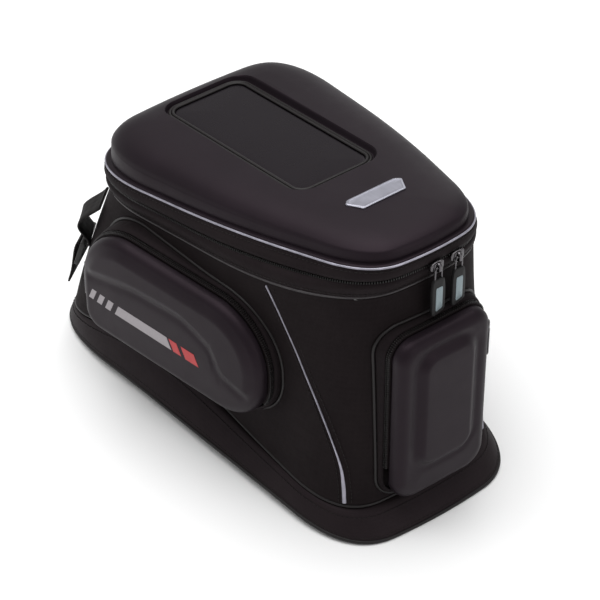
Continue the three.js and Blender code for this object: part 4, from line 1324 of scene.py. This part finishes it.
def add_pocket_pull(label, p, place_frame, sign, height, layers):
    slide = slider_frame_pocket(p, place_frame, sign, height, layers)
    add_slider(f"{label}_pocket_slider_metal", slide, False,
               f"{label}_pocket_slider", f"{label}_pocket_slider")
    hang = hanging_frame(slide)
    ring = [placed(hang, r) for r in wire_rings(wire_path(6.4, 30), 0.8)]
    wire = join_parts(f"{label}_pocket_wire", [(ring, True)], f"{label}_pocket_pull",
                      "hardware_metal", DARK_METAL)
    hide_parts(f"{label}_pocket_pull")


# ---- straps and handle -------------------------------------------------------------------------

STRAP = dict(x=90, width=25, thick=2.2, top=0.87, bottom=0.52)
HANDLE = dict(half=62, width=25, thick=3, z=150, reach=30)


def front_spot(t, x):
    ring = wall_ring(t, 0)
    normal = ring_normals(ring)
    front = np.flatnonzero(ring[:, 1] > 40)
    order = front[np.argsort(ring[front, 0])]
    point, n = (sample(x, ring[order, 0], data[order]) for data in (ring, normal))
    return point, n / np.linalg.norm(n)


def lock_frame(sign):
    point, out = front_spot(0.42, sign * STRAP["x"])
    above, _ = front_spot(0.52, sign * STRAP["x"])
    across = np.cross((0, 0, 1), out)
    across /= np.linalg.norm(across)
    up = above - point
    up = up - across * np.dot(up, across)
    up /= np.linalg.norm(up)
    away = np.cross(across, up)
    return frame_of(point + away * 5, across, up)


def add_straps():
    for sign, label in ((-1, "left"), (1, "right")):
        path = []
        for k in np.linspace(0, 1, 34):
            t = STRAP["top"] + (STRAP["bottom"] - STRAP["top"]) * k
            point, out = front_spot(t, sign * STRAP["x"])
            path.append(point + out * (1.9 + 13 * math.sin(math.pi * k) ** 1.4))
        _, out = front_spot(0.7, sign * STRAP["x"])
        across = np.cross((0, 0, 1), out)
        loop = ribbon(f"strap_webbing_{label}", path, across, STRAP["width"], STRAP["thick"],
                      body="bag_body", slot="webbing", material=WEBBING)
        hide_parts(f"strap_loop_{label}")
        hold = lock_frame(sign)
        bars = []
        for y in (11.6, 0.9, -10.4):
            bar = rounded_slab(32, 4.4, 1.6, -2.2, 2.2, 0.9)
            bars.append(([placed(hold, r + (0, y, 0)) for r in bar], False))
        for x in (-14.2, 14.2):
            rail = rounded_slab(3.8, 26, 1.5, -2.2, 2.2, 0.9)
            bars.append(([placed(hold, r + (x, 0, 0)) for r in rail], False))
        lock = join_parts(f"ladder_lock_body_{label}", bars, f"buckle_{label}", "black_plastic", NYLON)
        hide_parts(f"ladder_lock_{label}")
        lacing = [(0, 9, 3.8), (0, 7, 5.2), (0, 0, 5.6), (0, -10, 4.4), (0, -24, 2.6), (0, -38, 2.2)]
        local = smooth_path(lacing, 30)
        tail = ribbon(f"strap_end_{label}", placed(hold, local), hold[1], 24, 1.8, body=f"buckle_{label}",
                      slot="webbing", material=WEBBING)
        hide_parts(f"strap_tail_{label}")


def add_handle():
    point, _ = front_spot(0.76, 0)
    base = point[1] + HANDLE["thick"] / 2 + 3.4
    path = []
    for k in np.linspace(-1, 1, 61):
        swell = math.cos(math.pi * k / 2) ** 0.8 if abs(k) < 1 else 0
        path.append((HANDLE["half"] * k, base + HANDLE["reach"] * swell - 2.2 * (1 - swell), HANDLE["z"]))
    handle = ribbon("handle_webbing", path, (0, 0, 1), HANDLE["width"], HANDLE["thick"], body="bag_body",
                    slot="webbing", material=WEBBING)
    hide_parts("carry_handle")


# ---- carried-over CAD nodes --------------------------------------------------------------------

def dress_nodes():
    looks = {
        NYLON: ["base_pan", "quick_release_ring", "ring_backing_plate"],
        BOARD: ["floor_board"],
        RUBBER: ["release_button"],
        LINING: ["phone_tray"],
        TAPE: ["phone_tray_flap"],
        DARK_METAL: [f"ring_screw_{i}" for i in range(1, 5)],
        WEBBING: ["handle_patch_left", "handle_patch_right"],
    }
    for material, names in looks.items():
        for name in names:
            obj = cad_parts[name]
            for slot in obj.material_slots:
                slot.material = material


# ---- everything --------------------------------------------------------------------------------

add_camera()
add_studio()

wall_outer, wall_levels = add_wall()
wall_tree = BVHTree.FromObject(bpy.data.objects["wall_fabric"], bpy.context.evaluated_depsgraph_get())
add_skirt()
add_pipings()
add_zip_bands()
add_main_zip()
add_flank_seams()
add_lid()
add_window()
add_emblem()

front_top, rear_top, rear_bottom, front_bottom = SIDE["radii"]
POCKETS = [
    ("left", SIDE, SIDE_LAYERS, side_frame(-1), (rear_top, front_top, front_bottom, rear_bottom),
     side_relief, -1, -1, -5),
    ("right", SIDE, SIDE_LAYERS, side_frame(1), SIDE["radii"], side_relief, 1, 1, -5),
    ("rear", REAR, REAR_LAYERS, rear_frame(), REAR["radii"], rear_relief, 1, 1, 50),
]
for label, size, layers, place_frame, radii, relief, mirror, sign, slider_height in POCKETS:
    rings = add_pocket(label, size, layers, place_frame, radii, relief, mirror)
    add_gusset(label, size, layers, place_frame, radii, wall_tree)
    add_pocket_zip(label, size, layers, place_frame, radii)
    add_pocket_pull(label, size, place_frame, sign, slider_height, layers)
    if label != "rear":
        add_prints(label, rings, place_frame, mirror)

for label, x in (("left", 0), ("right", 21)):
    add_main_pull(label, x)
add_straps()
add_handle()
dress_nodes()
